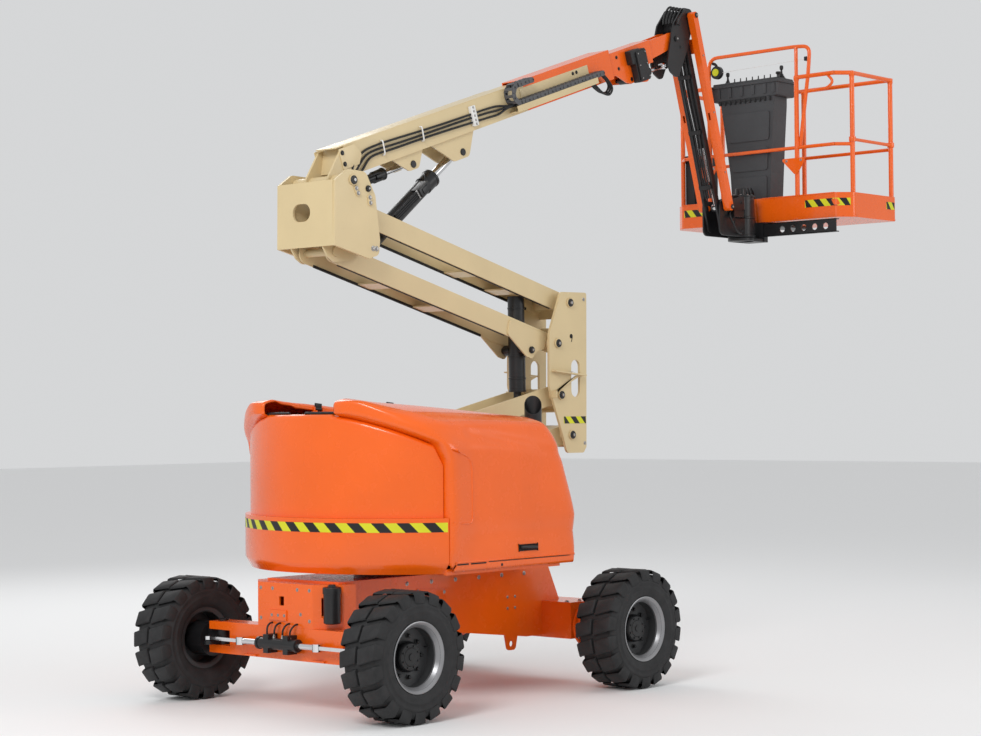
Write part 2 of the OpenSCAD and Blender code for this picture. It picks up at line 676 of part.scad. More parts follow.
// Tower cylinder, its barrel hung in the upper arm and its rod standing on the lower arm
tower_rod_r = 30;
barrel_up = 400;
barrel_down = 300;
rod_inside = 200;
module tower_barrel() color(black) machine() {
  along(tower_top_pin, tower_foot_pin) difference() {
    translate([-barrel_up, 0, 0]) rotate([0, 90, 0]) cylinder(r = tower_cyl_r, h = barrel_up + barrel_down);
    translate([-barrel_up + 30, 0, 0]) rotate([0, 90, 0]) cylinder(r = tower_rod_r + pin_gap, h = 1000);
  }
  both_sides() at(tower_top_pin, tower_cyl_r - 10) rotate([-90, 0, 0])
    cylinder(r = 40, h = beam_half - beam_t - 14 - tower_cyl_r + 10);
  both_sides() at(tower_top_pin, tower_cyl_r - 10) rotate([-90, 0, 0])
    cylinder(r = tower_pin_r, h = beam_half + gusset_t + 10 - tower_cyl_r + 10);
}
tower_cyl_len = norm(tower_foot_pin - tower_top_pin);
module tower_rod() color(steel) machine() {
  along(tower_top_pin, tower_foot_pin)
    translate([-rod_inside, 0, 0]) rotate([0, 90, 0]) cylinder(r = tower_rod_r, h = tower_cyl_len + rod_inside - 25);
  bar(tower_foot_pin, 42, 40);
  bar(tower_foot_pin, 24, foot_in - move_gap);
}

// Boom
module boom_frame() {
  at(boom_pin) rotate([0, -boom_deg, 0]) children();
}
boom_rear = 90;
ear_t = 18;
module boom_base() color(cream) machine() {
  boom_frame() {
    difference() {
      plate(-boom_w / 2, boom_w) polygon([[boom_rear, 40], [boom_rear + 60, 0], [sleeve_start, 0],
                                          [sleeve_start, boom_d], [boom_rear + 85, boom_d]]);
      translate([boom_rear + 120, -boom_w / 2 + boom_t, boom_t])
        cube([sleeve_start, boom_w - 2 * boom_t, boom_d - 2 * boom_t]);
    }
    plates(boom_w / 2 - 1, ear_t) polygon(rounded([[-60, -60], [-60, 40], [120, 190], [240, 190], [240, 40],
                                                    [60, -60]], [58, 40, 20, 20, 40, 58]));
    plates(cyl_ear_in, 14) polygon(rounded([[1020, 4], [1220, -165], [1385, -165], [1490, 4]], [0, 50, 50, 0]));
    plates(cyl_ear_in, 14) polygon(rounded([[600, 4], [750, -115], [850, -115], [930, 4]], [0, 40, 40, 0]));
    carrier_tray();
  }
  hinge_pin(boom_pin, tower_pin_r, upright_half + upright_t);
  bar(boom_pin, boss_r, upright_half - side_gap);
}
cyl_ear_in = 72;
tray_y = -boom_w / 2 - 90;
tray_z = 32;
module carrier_tray() {
  translate([1900, tray_y, tray_z - 6]) cube([980, 90 - gap, 6]);
  translate([1900, tray_y + 80, tray_z - 6]) cube([200, 12, 6]);
  translate([1900, tray_y, tray_z - 6]) cube([980, 6, 46]);
}
pad_len = 80;
module boom_front() color(orange) machine() boom_frame() difference() {
  translate([sleeve_start + gap, -boom_w / 2, 0])
    cube([boom_front_end - sleeve_start - gap, boom_w, boom_d + sleeve_rise]);
  translate([sleeve_start - 10, -boom_w / 2 + boom_t, boom_t])
    cube([boom_front_end - sleeve_start + 10 - pad_len, boom_w - 2 * boom_t, boom_d + sleeve_rise - 2 * boom_t]);
  translate([sleeve_start, -fly_w / 2 - pin_gap, fly_low - pin_gap])
    cube([boom_front_end, fly_w + 2 * pin_gap, fly_top - fly_low + 2 * pin_gap]);
}
carrier_start = 1880;
carrier_end = 2960;
carrier_r = 62;
carrier_link = 44;
module cable_carrier() color(grey_plastic) machine() boom_frame() {
  z0 = tray_z + gap;
  plate(tray_y + 10, 74) difference() {
    union() {
      translate([carrier_start + carrier_r, z0]) square([carrier_end - carrier_start - carrier_r, carrier_link]);
      translate([carrier_start + carrier_r, z0 + carrier_r]) circle(r = carrier_r);
      translate([carrier_start + carrier_r, z0 + 2 * carrier_r - carrier_link]) square([260, carrier_link]);
    }
    translate([carrier_start + carrier_r, z0 + carrier_r]) circle(r = carrier_r - carrier_link);
    translate([carrier_start + carrier_r, z0 + carrier_link]) square([300, 2 * carrier_r - 2 * carrier_link]);
  }
}

// Lift and levelling cylinders: barrel and rod on the line between their pins
module barrel_between(p, q, r, bore_r, length, half) {
  along(p, q) difference() {
    union() {
      rotate([0, 90, 0]) translate([0, 0, 20]) cylinder(r = r, h = length - 20);
      translate([length - 90, 0, 0]) rotate([0, 90, 0]) cylinder(r = r + 8, h = 90);
    }
    rotate([0, 90, 0]) translate([0, 0, 60]) cylinder(r = bore_r + pin_gap, h = length);
  }
  bar(p, r + 4, half);
}
module rod_between(p, q, r, eye_r, half, start) {
  d = norm(q - p);
  along(p, q) rotate([0, 90, 0]) translate([0, 0, start]) cylinder(r = r, h = d - start - eye_r / 2);
  bar(q, eye_r, half);
}
lift_len = 900;
level_len = 440;
module lift_barrel() color(black) machine() {
  barrel_between(lift_base_pin, lift_top_pin, lift_r, 32, lift_len, 68);
  bar(lift_base_pin, lift_pin_r, lift_lug_in + 26);
}
module lift_rod() color(steel) machine() {
  rod_between(lift_base_pin, lift_top_pin, 32, 38, 48, 240);
  bar(lift_top_pin, 24, cyl_ear_in - move_gap);
}
module level_barrel() color(black) machine() {
  barrel_between(level_base_pin, level_top_pin, level_r, 20, level_len, 50);
  bar(level_base_pin, level_pin_r, upright_half + upright_t + 8);
}
module level_rod() color(steel) machine() {
  rod_between(level_base_pin, level_top_pin, 20, 30, 40, 110);
  bar(level_top_pin, 20, cyl_ear_in - move_gap);
}

// Fly section with its nose
fly_top = boom_d - boom_t - 6;
fly_low = boom_t + 8;
fly_rear = 800;
fly_front = 3740;
slave_slot = 88;
tip_in = 46;
tip_t = 16;
module fly_boom() color(orange) machine() {
  boom_frame() {
    difference() {
      translate([fly_rear, -fly_w / 2, fly_low]) cube([fly_front - fly_rear, fly_w, fly_top - fly_low]);
      translate([fly_rear - 10, -fly_w / 2 + boom_t, fly_low + boom_t])
        cube([fly_front - fly_rear, fly_w - 2 * boom_t, fly_top - fly_low - 2 * boom_t]);
      translate([3330, -slave_slot / 2, -10]) cube([500, slave_slot, 170]);
    }
    difference() {
      plates(fly_w / 2 - 10, 10) polygon(rounded([
        [3230, fly_low + 10], [3360, -70], [3600, -112], [3640, -112], [3660, 20], [3740, 60], [3740, fly_top - 10],
        [3240, fly_top - 10]], [0, 40, 20, 30, 40, 20, 0, 0]));
      translate([3425, 0, -53]) rotate([90, 0, 0]) cylinder(r = 18 + pin_gap, h = 300, center = true);
    }
    difference() {
      plates(tip_in, tip_t) polygon(rounded([
        [3640, fly_top - 12], [3640, 50], [3760, 40], [3960, 60], [4040, 82], [4138, 82], [4138, 182], [4050, fly_top - 4]],
        [0, 0, 40, 60, 40, 48, 48, 20]));
      translate([4088, 0, 132]) rotate([90, 0, 0]) cylinder(r = 22 + pin_gap, h = 300, center = true);
    }
  }
}
module valve_box() color(black) machine() boom_frame() {
  translate([3440, -fly_w / 2 - 62, -90]) cube([150, 62 - gap, 250]);
  translate([3400, -fly_w / 2 - 62, 60]) cube([120, 62 - gap, 110]);
}

// Jib head, jib and platform support; layers from the middle outward
jib_cyl_half = 36;
cyl_lug = 39;
cyl_lug_t = 8;
link_in = 52;
link_t = 18;
head_in = link_in + link_t + 6;
head_t = 14;
bar_in = head_in + head_t + 8;
jib_pin_r = 22;
module tip_bracket() color(black) machine() {
  difference() {
    plates(head_in, head_t) polygon(rounded([
      tip_pin + [90, 265], tip_pin + [215, 265], tip_pin + [225, 140], tip_pin + [150, -70],
      slave_pin + [80, -110], slave_pin + [-20, -60], slave_pin + [-60, 10], tip_pin + [-60, 20], tip_pin + [-30, 120]],
      [50, 40, 60, 60, 50, 40, 40, 40, 60]));
    for (p = [jib_top_pin, jib_top_pin + link_offset]) bar(p, jib_pin_r + pin_gap, 150);
  }
  difference() {
    plates(cyl_lug, cyl_lug_t) polygon(rounded([
      tip_pin + [64, 140], tip_pin + [64, 60], jib_top_pin + cyl_offset + [36, -36], jib_top_pin + cyl_offset + [36, 40]],
      [0, 0, 34, 34]));
    bar(jib_top_pin + cyl_offset, jib_pin_r + pin_gap, 150);
  }
  bar(tip_pin, jib_pin_r, head_in + head_t + 6);
  translate([tip_pin[0] + 62, -head_in - 1, tip_pin[1] + 80]) cube([14, 2 * head_in + 2, 150]);
}
module slave_barrel() color(black) machine() {
  barrel_between(slave_base_pin, slave_pin, 28, 16, 330, 36);
  bar(slave_base_pin, 18, fly_w / 2 - 2);
}
module slave_rod() color(steel) machine() {
  rod_between(slave_base_pin, slave_pin, 16, 28, 30, 165);
  bar(slave_pin, 16, 38);
}
module jib_bars() color(orange) machine() {
  along(jib_top_pin, jib_low_pin) both_sides() difference() {
    union() {
      translate([0, bar_in, -jib_bar / 2]) cube([jib_len, jib_bar, jib_bar]);
      for (x = [0, jib_len]) translate([x, bar_in, 0]) rotate([-90, 0, 0]) cylinder(d = jib_bar, h = jib_bar);
    }
    translate([60, bar_in + 6, -jib_bar / 2 + 6]) cube([jib_len - 120, jib_bar - 12, jib_bar - 12]);
    translate([jib_len / 2, bar_in + 20, -jib_bar]) cube([60, 20, jib_bar]);
  }
  along(jib_top_pin, jib_low_pin) translate([190, -bar_in - 30, jib_bar / 2 - 1]) cube([120, 2 * bar_in + 60, 10]);
  for (p = [jib_top_pin, jib_low_pin]) both_sides() at(p, head_in - 4) rotate([-90, 0, 0])
    cylinder(r = jib_pin_r, h = bar_in + jib_bar + 8 - head_in + 4);
}
module jib_link() color(black) machine() {
  p = jib_top_pin + link_offset;
  q = jib_low_pin + link_offset;
  along(p, q) both_sides() {
    translate([0, link_in, -24]) cube([jib_len, link_t, 48]);
    for (x = [0, jib_len]) translate([x, link_in, 0]) rotate([-90, 0, 0]) cylinder(r = 30, h = link_t);
    for (x = [0, jib_len]) translate([x, link_in, 0]) rotate([-90, 0, 0])
      cylinder(r = jib_pin_r, h = head_in + head_t - link_in);
  }
}
module jib_barrel() color(black) machine() {
  p = jib_top_pin + cyl_offset;
  barrel_between(p, jib_low_pin, 32, 18, 960, jib_cyl_half);
  bar(p, jib_pin_r, cyl_lug + cyl_lug_t);
}
module jib_rod() color(steel) machine() {
  rod_between(jib_top_pin + cyl_offset, jib_low_pin, 18, 30, 30, 90);
}
module platform_support() color(black) machine() {
  low = jib_low_pin + link_offset;
  difference() {
    union() {
      plates(head_in, head_t) polygon(rounded([
        jib_low_pin + [-70, 60], jib_low_pin + [60, 60], [rotator_x - 60, jib_low_pin[1] + 120],
        [rotator_x - 60, low[1] - 60], low + [-60, -60]], [50, 50, 20, 10, 50]));
      translate([rotator_x, 0, low[1] - 60]) cylinder(r = 115, h = jib_low_pin[1] + 120 - low[1] + 60);
    }
    for (p = [jib_low_pin, low]) bar(p, jib_pin_r + pin_gap, 150);
    translate([rotator_x, 0, low[1] - 100]) cylinder(r = 45 + pin_gap, h = 700);
  }
}

// Basket: everything here turns with the rotator
support_z = jib_low_pin[1] - jib_gap - 60;
module basket_support() color(black) machine() {
  translate([rotator_x, 0, support_z - 30]) cylinder(r = 45, h = jib_low_pin[1] + 120 - support_z + 60);
  difference() {
    union() {
      translate([rotator_x, 0, support_z - 30]) cylinder(r = 110, h = 30 - side_gap);
      translate([rotator_x, -100, support_z - 30]) cube([basket_x1 - rotator_x - 80, 200, 30 - side_gap]);
      translate([basket_x0 - 52, -basket_half + 60, support_z - 30]) cube([60, basket_len / 2 + 60, 90]);
      for (x = [basket_x0 + 40, basket_x1 - 120]) translate([x, -basket_half + 60, support_z - 3])
        cube([60, basket_len - 120, basket_z0 - gap - support_z + 3]);
    }
    for (i = [0:4]) translate([basket_x0 - 22, -basket_half + 160 + 100 * i, support_z + 14]) rotate([0, 90, 0])
      cylinder(r = 24, h = 80, center = true);
  }
}
corner_cut = 110;
toe_t = 6;
post_r = rail_r + 2;
inset = post_r + toe_t + gap;
hoop_ys = [-400, 500];
mid_z = floor_z + 600;
function basket_plan(d) = rounded([
  [basket_x0 + d, basket_half - corner_cut], [basket_x0 + corner_cut, basket_half - d], [basket_x1 - d, basket_half - d],
  [basket_x1 - d, -basket_half + d], [basket_x0 + corner_cut, -basket_half + d], [basket_x0 + d, -basket_half + corner_cut]],
  [60, 60, 20, 20, 60, 60]);
module basket_floor() color(orange) machine() {
  translate([0, 0, basket_z0]) {
    linear_extrude(floor_t) polygon(basket_plan(2));
    linear_extrude(toe_h) difference() {
      polygon(basket_plan(0));
      polygon(basket_plan(toe_t));
    }
  }
}
module basket_rails() color(orange) machine() {
  xs = [basket_x0 + inset, basket_x1 - inset];
  ys = [-basket_half + inset, basket_half - inset];
  cut = corner_cut;
  posts = [[xs[0] + cut, ys[0]], [xs[1], ys[0]], [xs[1], 0], [xs[1], ys[1]], [xs[0] + cut, ys[1]],
           [xs[0], hoop_ys[0]], [xs[0], hoop_ys[1]]];
  for (p = posts) rod([p[0], p[1], floor_z + gap], [p[0], p[1], rail_z + 2], post_r);
  rail([[xs[0], hoop_ys[0], rail_z], [xs[0], ys[0] + cut, rail_z], [xs[0] + cut, ys[0], rail_z],
        [xs[1], ys[0], rail_z], [xs[1], ys[1], rail_z], [xs[0] + cut, ys[1], rail_z], [xs[0], ys[1] - cut, rail_z],
        [xs[0], hoop_ys[1], rail_z]], rail_r);
  mid = mid_z;
  rail([[xs[0] + cut, ys[0], mid], [xs[0], ys[0] + cut, mid], [xs[0], hoop_ys[1], mid], [xs[0], ys[1] - cut, mid],
        [xs[0] + cut, ys[1], mid], [xs[1], ys[1], mid], [xs[1], ys[0], mid]], rail_r - 3);
}
module hoop_frame() color(orange) machine() {
  x = basket_x0 + inset;
  top = rail_z + 260;
  foot = rail_z + rail_r + knee + gap;
  rail([[x, hoop_ys[0], top], [x, hoop_ys[1], top]], rail_r - 2);
  for (y = hoop_ys) rod([x, y, foot], [x, y, top], rail_r - 2.5);
}
module console() color(grey_plastic) machine() {
  x0 = basket_x0 + 60;
  wall = 6;
  translate([x0, -350, rail_z - 180]) cube([260, 830, 170]);
  difference() {
    translate([x0, 0, 0]) rotate([90, 0, 90]) linear_extrude(200) console_front(0);
    translate([x0 + wall, 0, 0]) rotate([90, 0, 90]) linear_extrude(200 - 2 * wall) console_front(wall);
  }
}
module console_front(wall) {
  polygon([[-330 + wall, rail_z - 180 - wall], [430 - wall, rail_z - 180 - wall], [310 - wall, rail_z - 560],
           [260 - wall, floor_z + gap - wall], [-230 + wall, floor_z + gap - wall], [-260 + wall, rail_z - 560]]);
}
module manual_box() color(black) machine()
  translate([basket_x0 + 150, basket_half - inset - rail_r + 3 - gap - 110, mid_z - 420]) cube([330, 110, 460]);
gate_h = 40;
module gate_bar() color(orange) machine() {
  x0 = basket_x0 + inset + corner_cut;
  x1 = basket_x1 - inset;
  y = -basket_half + inset;
  z = mid_z + rail_r + gap;
  for (x = [x0, x1]) translate([x, y, z]) difference() {
    cylinder(r = post_r + 9, h = gate_h);
    translate([0, 0, -1]) cylinder(r = post_r + pin_gap, h = gate_h + 2);
  }
  rod([x0 + post_r + 4, y, z + gate_h / 2], [x1 - post_r - 4, y, z + gate_h / 2], rail_r - 4);
}

chassis_frame();
steer_axle();
drive_axle();
steer_cylinder();
slew_ring();
filter_canister();
knuckle_near();
knuckle_far();
steer_rods();
tyre_steer_near();
tyre_steer_far();
tyre_drive_near();
tyre_drive_far();
rim_steer_near();
rim_steer_far();
rim_drive_near();
rim_drive_far();
turntable_frame();
counterweight();
tail_cover();
engine_block();
tank_block();
exhaust_stack();
hood_near();
hood_far();
lower_arm();
lower_link();
column();
upper_arm();
upper_link();
upright();
tower_barrel();
tower_rod();
boom_base();
boom_front();
cable_carrier();
lift_barrel();
lift_rod();
level_barrel();
level_rod();
fly_boom();
valve_box();
tip_bracket();
slave_barrel();
slave_rod();
jib_bars();
jib_link();
jib_barrel();
jib_rod();
platform_support();
basket_support();
basket_floor();
basket_rails();
hoop_frame();
console();
manual_box();
gate_bar();
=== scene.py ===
"""Articulating boom lift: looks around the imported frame."""
import bpy, bmesh, math
import numpy as np
from mathutils import Vector, Matrix


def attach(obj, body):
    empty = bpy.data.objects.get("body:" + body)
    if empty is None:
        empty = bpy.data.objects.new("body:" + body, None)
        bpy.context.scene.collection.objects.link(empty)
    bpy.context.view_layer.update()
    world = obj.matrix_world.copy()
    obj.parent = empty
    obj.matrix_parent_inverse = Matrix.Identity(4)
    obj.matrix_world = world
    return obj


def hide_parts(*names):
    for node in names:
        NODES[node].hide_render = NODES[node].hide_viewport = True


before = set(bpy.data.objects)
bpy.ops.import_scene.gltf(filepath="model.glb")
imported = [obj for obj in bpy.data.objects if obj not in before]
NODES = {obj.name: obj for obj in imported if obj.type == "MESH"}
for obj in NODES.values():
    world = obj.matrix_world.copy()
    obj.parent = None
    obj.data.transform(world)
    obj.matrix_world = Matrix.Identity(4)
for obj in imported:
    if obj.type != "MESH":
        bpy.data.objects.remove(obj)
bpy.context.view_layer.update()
SLEW_BACK = 1.69873765  # metres from the row frame's origin back to the slewing axis
NEAR, FRONT, UP = Vector((0, -1, 0)), Vector((-1, 0, 0)), Vector((0, 0, 1))
SIDES = (-1, 1)  # near side, far side


# Points and directions
def P(x, y, z):
    """Row-frame point, in metres, from millimetres measured from the slewing axis."""
    return Vector((x / 1000 - SLEW_BACK, y / 1000, z / 1000))


def crosswise(a, d, z):
    """The same for an outline drawn across the machine."""
    return P(d, a, z)


def across(side):
    return Vector((0, side, 0))


def frame_of(p, angle):
    """Local frame in the side view: x along the angle, z to its left."""
    c, s = math.cos(angle), math.sin(angle)
    return lambda x, y, z: P(p[0] + x * c - z * s, y, p[1] + x * s + z * c)


def along(p, q):
    """Local frame at p with its x towards q."""
    return frame_of(p, math.atan2(q[1] - p[1], q[0] - p[0]))


def axis(T, x=0):
    """Direction of a local frame's x."""
    return T(x + 1, 0, 0) - T(x, 0, 0)


def run(T, *points):
    return [T(*p) for p in points]


def ring(count, start=0.0):
    """Cosine and sine of even steps round a circle."""
    turns = [2 * math.pi * (i + start) / count for i in range(count)]
    return [(math.cos(t), math.sin(t)) for t in turns]


# Materials
def nodes_of(name):
    m = bpy.data.materials.new(name)
    m.use_nodes = True
    return m, m.node_tree, m.node_tree.nodes["Principled BSDF"]


def put(shader, values):
    for name, value in values.items():
        shader.inputs[name].default_value = value


def noise(nt, at, scale, detail):
    n = nt.nodes.new("ShaderNodeTexNoise")
    put(n, {"Scale": scale, "Detail": detail})
    nt.links.new(at, n.inputs["Vector"])
    return n.outputs["Fac"]


def finish(name, color, rough, metal=0.0, coat=0.0, vary=0.12, scale=4.0, bump=0.02, grain=700.0,
           rough_vary=0.08):
    """Paint, metal, plastic or rubber with soft colour and gloss variation and a fine surface grain."""
    m, nt, p = nodes_of(name)
    at = nt.nodes.new("ShaderNodeTexCoord").outputs["Object"]
    ramp = nt.nodes.new("ShaderNodeValToRGB")
    low, high = ramp.color_ramp.elements
    low.position, high.position = 0.3, 0.72
    low.color = tuple(c * (1 - vary) for c in color) + (1,)
    high.color = tuple(min(1, c * (1 + vary * 0.6)) for c in color) + (1,)
    nt.links.new(noise(nt, at, scale, 5), ramp.inputs["Fac"])
    nt.links.new(ramp.outputs["Color"], p.inputs["Base Color"])
    gloss = nt.nodes.new("ShaderNodeMapRange")
    put(gloss, {"To Min": max(0.02, rough - rough_vary), "To Max": rough + rough_vary})
    nt.links.new(noise(nt, at, scale * 5, 3), gloss.inputs["Value"])
    nt.links.new(gloss.outputs["Result"], p.inputs["Roughness"])
    relief = nt.nodes.new("ShaderNodeBump")
    put(relief, {"Strength": bump, "Distance": 0.002})
    nt.links.new(noise(nt, at, grain, 2), relief.inputs["Height"])
    nt.links.new(relief.outputs["Normal"], p.inputs["Normal"])
    put(p, {"Metallic": metal, "Coat Weight": coat, "Coat Roughness": 0.08, "IOR": 1.45})
    return m


ORANGE = (0.87, 0.124, 0.003)
CREAM = (0.65, 0.515, 0.29)
M = {
    "orange": finish("orange_paint", ORANGE, 0.26, coat=0.35, vary=0.06, scale=2.2, bump=0.05, grain=420),
    "cream": finish("cream_paint", CREAM, 0.38, coat=0.12, vary=0.05, scale=3.0, bump=0.05, grain=480),
    "black": finish("black_paint", (0.012, 0.012, 0.013), 0.34, vary=0.3, scale=6, bump=0.08, grain=520),
    "rubber": finish("tyre_rubber", (0.020, 0.020, 0.021), 0.72, vary=0.35, scale=14, bump=0.25, grain=260),
    "hose": finish("hose_rubber", (0.010, 0.010, 0.011), 0.5, vary=0.3, scale=20, bump=0.2, grain=900),
    "rim": finish("rim_paint", (0.055, 0.056, 0.058), 0.42, metal=0.35, scale=9, bump=0.05, grain=500),
    "rim_ring": finish("rim_ring", (0.30, 0.30, 0.31), 0.35, metal=0.6, vary=0.1, scale=9, bump=0.04),
    "plastic": finish("grey_plastic", (0.050, 0.052, 0.056), 0.52, vary=0.1, scale=5, bump=0.35, grain=1500),
    "carrier": finish("carrier_plastic", (0.085, 0.085, 0.09), 0.48, scale=12, bump=0.15, grain=900),
    "dark": finish("dark_plastic", (0.012, 0.012, 0.013), 0.5, vary=0.2, scale=7, bump=0.3, grain=1300),
    "chrome": finish("chrome_rod", (0.70, 0.70, 0.71), 0.12, metal=1.0, vary=0.04, scale=20, bump=0.01,
                     rough_vary=0.04),
    "zinc": finish("zinc_bolt", (0.42, 0.41, 0.40), 0.34, metal=0.9, vary=0.15, scale=40, bump=0.05),
    "engine": finish("engine_grey", (0.03, 0.03, 0.032), 0.6, metal=0.3, vary=0.3, scale=8, bump=0.2,
                     grain=200),
    "yellow": finish("stripe_yellow", (0.66, 0.66, 0.012), 0.42, vary=0.05, scale=6),
    "stripe": finish("stripe_black", (0.008, 0.008, 0.009), 0.42, vary=0.2, scale=6),
    "label": finish("blank_plate", (0.78, 0.78, 0.76), 0.45, vary=0.03, scale=8),
    "clip": finish("white_clip", (0.75, 0.75, 0.73), 0.45, vary=0.04, scale=12, bump=0.05),
    # Near-black used as painted shade: holes, slots and recesses drawn as dark sheets
    "inside": finish("painted_shade_dark", (0.006, 0.006, 0.006), 0.8, vary=0.2, scale=6, bump=0.1),
}
WHEELS = ["steer_near", "steer_far", "drive_near", "drive_far"]
# What isn't listed here is orange
LOOK = {
    "cream": ["lower_arm", "lower_link", "column", "upper_arm", "upper_link", "upright", "boom_base"],
    "black": ["tower_rod", "steer_cylinder", "slew_ring", "filter_canister", "knuckle_near",
              "knuckle_far", "exhaust_stack", "tower_barrel", "lift_barrel", "level_barrel",
              "slave_barrel", "jib_barrel", "jib_link", "tip_bracket", "platform_support",
              "basket_support"],
    "rim": ["rim_" + wheel for wheel in WHEELS],
    "rubber": ["tyre_" + wheel for wheel in WHEELS],
    "engine": ["engine_block"],
    "dark": ["tank_block", "valve_box", "manual_box"],
    "plastic": ["console"],
    "carrier": ["cable_carrier"],
    "chrome": ["steer_rods", "lift_rod", "level_rod", "slave_rod", "jib_rod"],
}
BEVEL = {"rubber": 0.005, "plastic": 0.012, "dark": 0.008}
PLAIN_BEVEL = 0.003


def soften(o, width):
    """Small rounded edges on a CAD node, by modifiers only."""
    o.data.polygons.foreach_set("use_smooth", [True] * len(o.data.polygons))
    w = o.modifiers.new("weld", "WELD")
    w.merge_threshold = 0.00005
    b = o.modifiers.new("edges", "BEVEL")
    b.width = width
    b.segments = 2
    b.limit_method = "ANGLE"
    b.angle_limit = math.radians(38)
    n = o.modifiers.new("normals", "WEIGHTED_NORMAL")
    n.mode, n.weight, n.keep_sharp = "FACE_AREA_WITH_ANGLE", 60, False


look_of = {name: look for look, names in LOOK.items() for name in names}
for name, node in NODES.items():
    look = look_of.get(name, "orange")
    node.data.materials.clear()
    node.data.materials.append(M[look])
    soften(node, BEVEL.get(look, PLAIN_BEVEL))


# Kit for the added pieces
def fill(b, verts, faces):
    """Points and faces added to geometry that is being built."""
    vs = [b.verts.new(v) for v in verts]
    for f in faces:
        b.faces.new([vs[i] for i in f])


def meshed(b, name):
    """Mesh from built geometry, which is freed."""
    me = bpy.data.meshes.new(name)
    b.to_mesh(me)
    b.free()
    return me


def place(me, body, mat, angle=36):
    """Piece with its material that rides on a body, sharp above an angle in degrees."""
    me.polygons.foreach_set("use_smooth", [True] * len(me.polygons))
    me.set_sharp_from_angle(angle=math.radians(angle))
    me.materials.append(M[mat])
    o = bpy.data.objects.new(me.name, me)
    bpy.context.scene.collection.objects.link(o)
    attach(o, body)
    return o


def round_edges(b, edges, offset, segments):
    bmesh.ops.bevel(b, geom=edges, offset=offset, segments=segments, profile=0.7, affect="EDGES",
                    clamp_overlap=True)


class Kit:
    """Collects small geometry by body and material, one object for each pair."""

    def __init__(self):
        self.sets = {}

    def add(self, body, mat, verts, faces):
        fill(self.sets.setdefault((body, mat), bmesh.new()), verts, faces)

    def temp(self, body, mat, bm, T):
        """Adds built geometry through a local frame and frees it."""
        bmesh.ops.recalc_face_normals(bm, faces=bm.faces)
        bm.verts.index_update()
        faces = [[v.index for v in f.verts] for f in bm.faces]
        self.add(body, mat, [T(*v.co) for v in bm.verts], faces)
        bm.free()

    def box(self, body, mat, a, b, T=P, bev=3.0, seg=2):
        bm = bmesh.new()
        bmesh.ops.create_cube(bm, size=1.0)
        for v in bm.verts:
            v.co = Vector(((a[i] + b[i]) / 2 + v.co[i] * (b[i] - a[i]) for i in range(3)))
        round_edges(bm, bm.edges[:], bev, seg)
        self.temp(body, mat, bm, T)

    def prism(self, body, mat, outline, y0, y1, T=P, bev=2.0):
        """Plate from an outline in x and z."""
        bm = bmesh.new()
        f = bm.faces.new([bm.verts.new((x, y0, z)) for x, z in outline])
        ex = bmesh.ops.extrude_face_region(bm, geom=[f])
        for v in ex["geom"]:
            if isinstance(v, bmesh.types.BMVert):
                v.co.y = y1
        if bev:
            flat = [e for e in bm.edges if abs(e.verts[0].co.y - e.verts[1].co.y) < 1e-6]
            round_edges(bm, flat, bev, 2)
        self.temp(body, mat, bm, T)

    def lathe(self, body, mat, o, n, profile, seg, cap=True):
        """Turned form: (radius, height) pairs in millimetres along n from the world point o."""
        n = n.normalized()
        u = n.orthogonal().normalized()
        w = n.cross(u)
        verts, faces, k = [], [], len(profile)
        for c, s in ring(seg):
            d = u * c + w * s
            verts += [o + d * (r / 1000) + n * (h / 1000) for r, h in profile]
        for i in range(seg):
            j = (i + 1) % seg
            faces += [(i * k + m, j * k + m, j * k + m + 1, i * k + m + 1) for m in range(k - 1)]
        for m in (0, k - 1):
            if cap and profile[m][0] > 0.01:
                faces.append([i * k + m for i in range(seg)])
        b = bmesh.new()
        fill(b, verts, faces)
        bmesh.ops.remove_doubles(b, verts=b.verts, dist=1e-6)
        bmesh.ops.dissolve_degenerate(b, edges=b.edges, dist=1e-7)
        self.temp(body, mat, b, lambda x, y, z: Vector((x, y, z)))

    def rod(self, body, mat, a, b, r, seg=20, bev=2.0):
        h = (b - a).length * 1000
        self.lathe(body, mat, a, b - a, [(r - bev, 0), (r, bev), (r, h - bev), (r - bev, h)], seg)

    def bolt(self, body, p, n, r, mat="zinc", washer=True):
        """Six-sided head, with a washer under it or without."""
        if washer:
            disc = [(r * 1.55, 0), (r * 1.55, r * 0.16), (r * 1.45, r * 0.22), (0, r * 0.22)]
            self.lathe(body, mat, p, n, disc, 20)
        self.lathe(body, mat, p, n, [(r, 0), (r, r * 0.75), (r * 0.86, r * 0.92), (0, r * 0.92)], 6)

    def bolts(self, body, points, n, r, mat="zinc", washer=True):
        for p in points:
            self.bolt(body, p, n, r, mat, washer)

    def tube(self, body, mat, points, r, seg=10, sub=6, smooth=True):
        """Round hose or bar through world points."""
        line = spline(points, sub) if smooth else [Vector(q) for q in points]
        verts, faces, last = [], [], len(line) - 1
        u = (line[1] - line[0]).normalized().orthogonal().normalized()
        for i, q in enumerate(line):
            t = (line[min(last, i + 1)] - line[max(0, i - 1)]).normalized()
            u = (u - t * u.dot(t)).normalized()
            w = t.cross(u)
            verts += [q + (u * c + w * s) * (r / 1000) for c, s in ring(seg)]
        for i in range(last):
            for j in range(seg):
                k = (j + 1) % seg
                faces.append((i * seg + j, i * seg + k, (i + 1) * seg + k, (i + 1) * seg + j))
        faces.append(list(range(seg)))
        faces.append([last * seg + j for j in range(seg)])
        self.add(body, mat, verts, faces)

    def emit(self):
        """One object for each set that is left."""
        for (body, mat), b in self.sets.items():
            bmesh.ops.recalc_face_normals(b, faces=b.faces)
            o = place(meshed(b, f"{body}.{mat}"), body, mat)
            if mat == "rubber":
                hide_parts(body.replace("wheel", "tyre"))


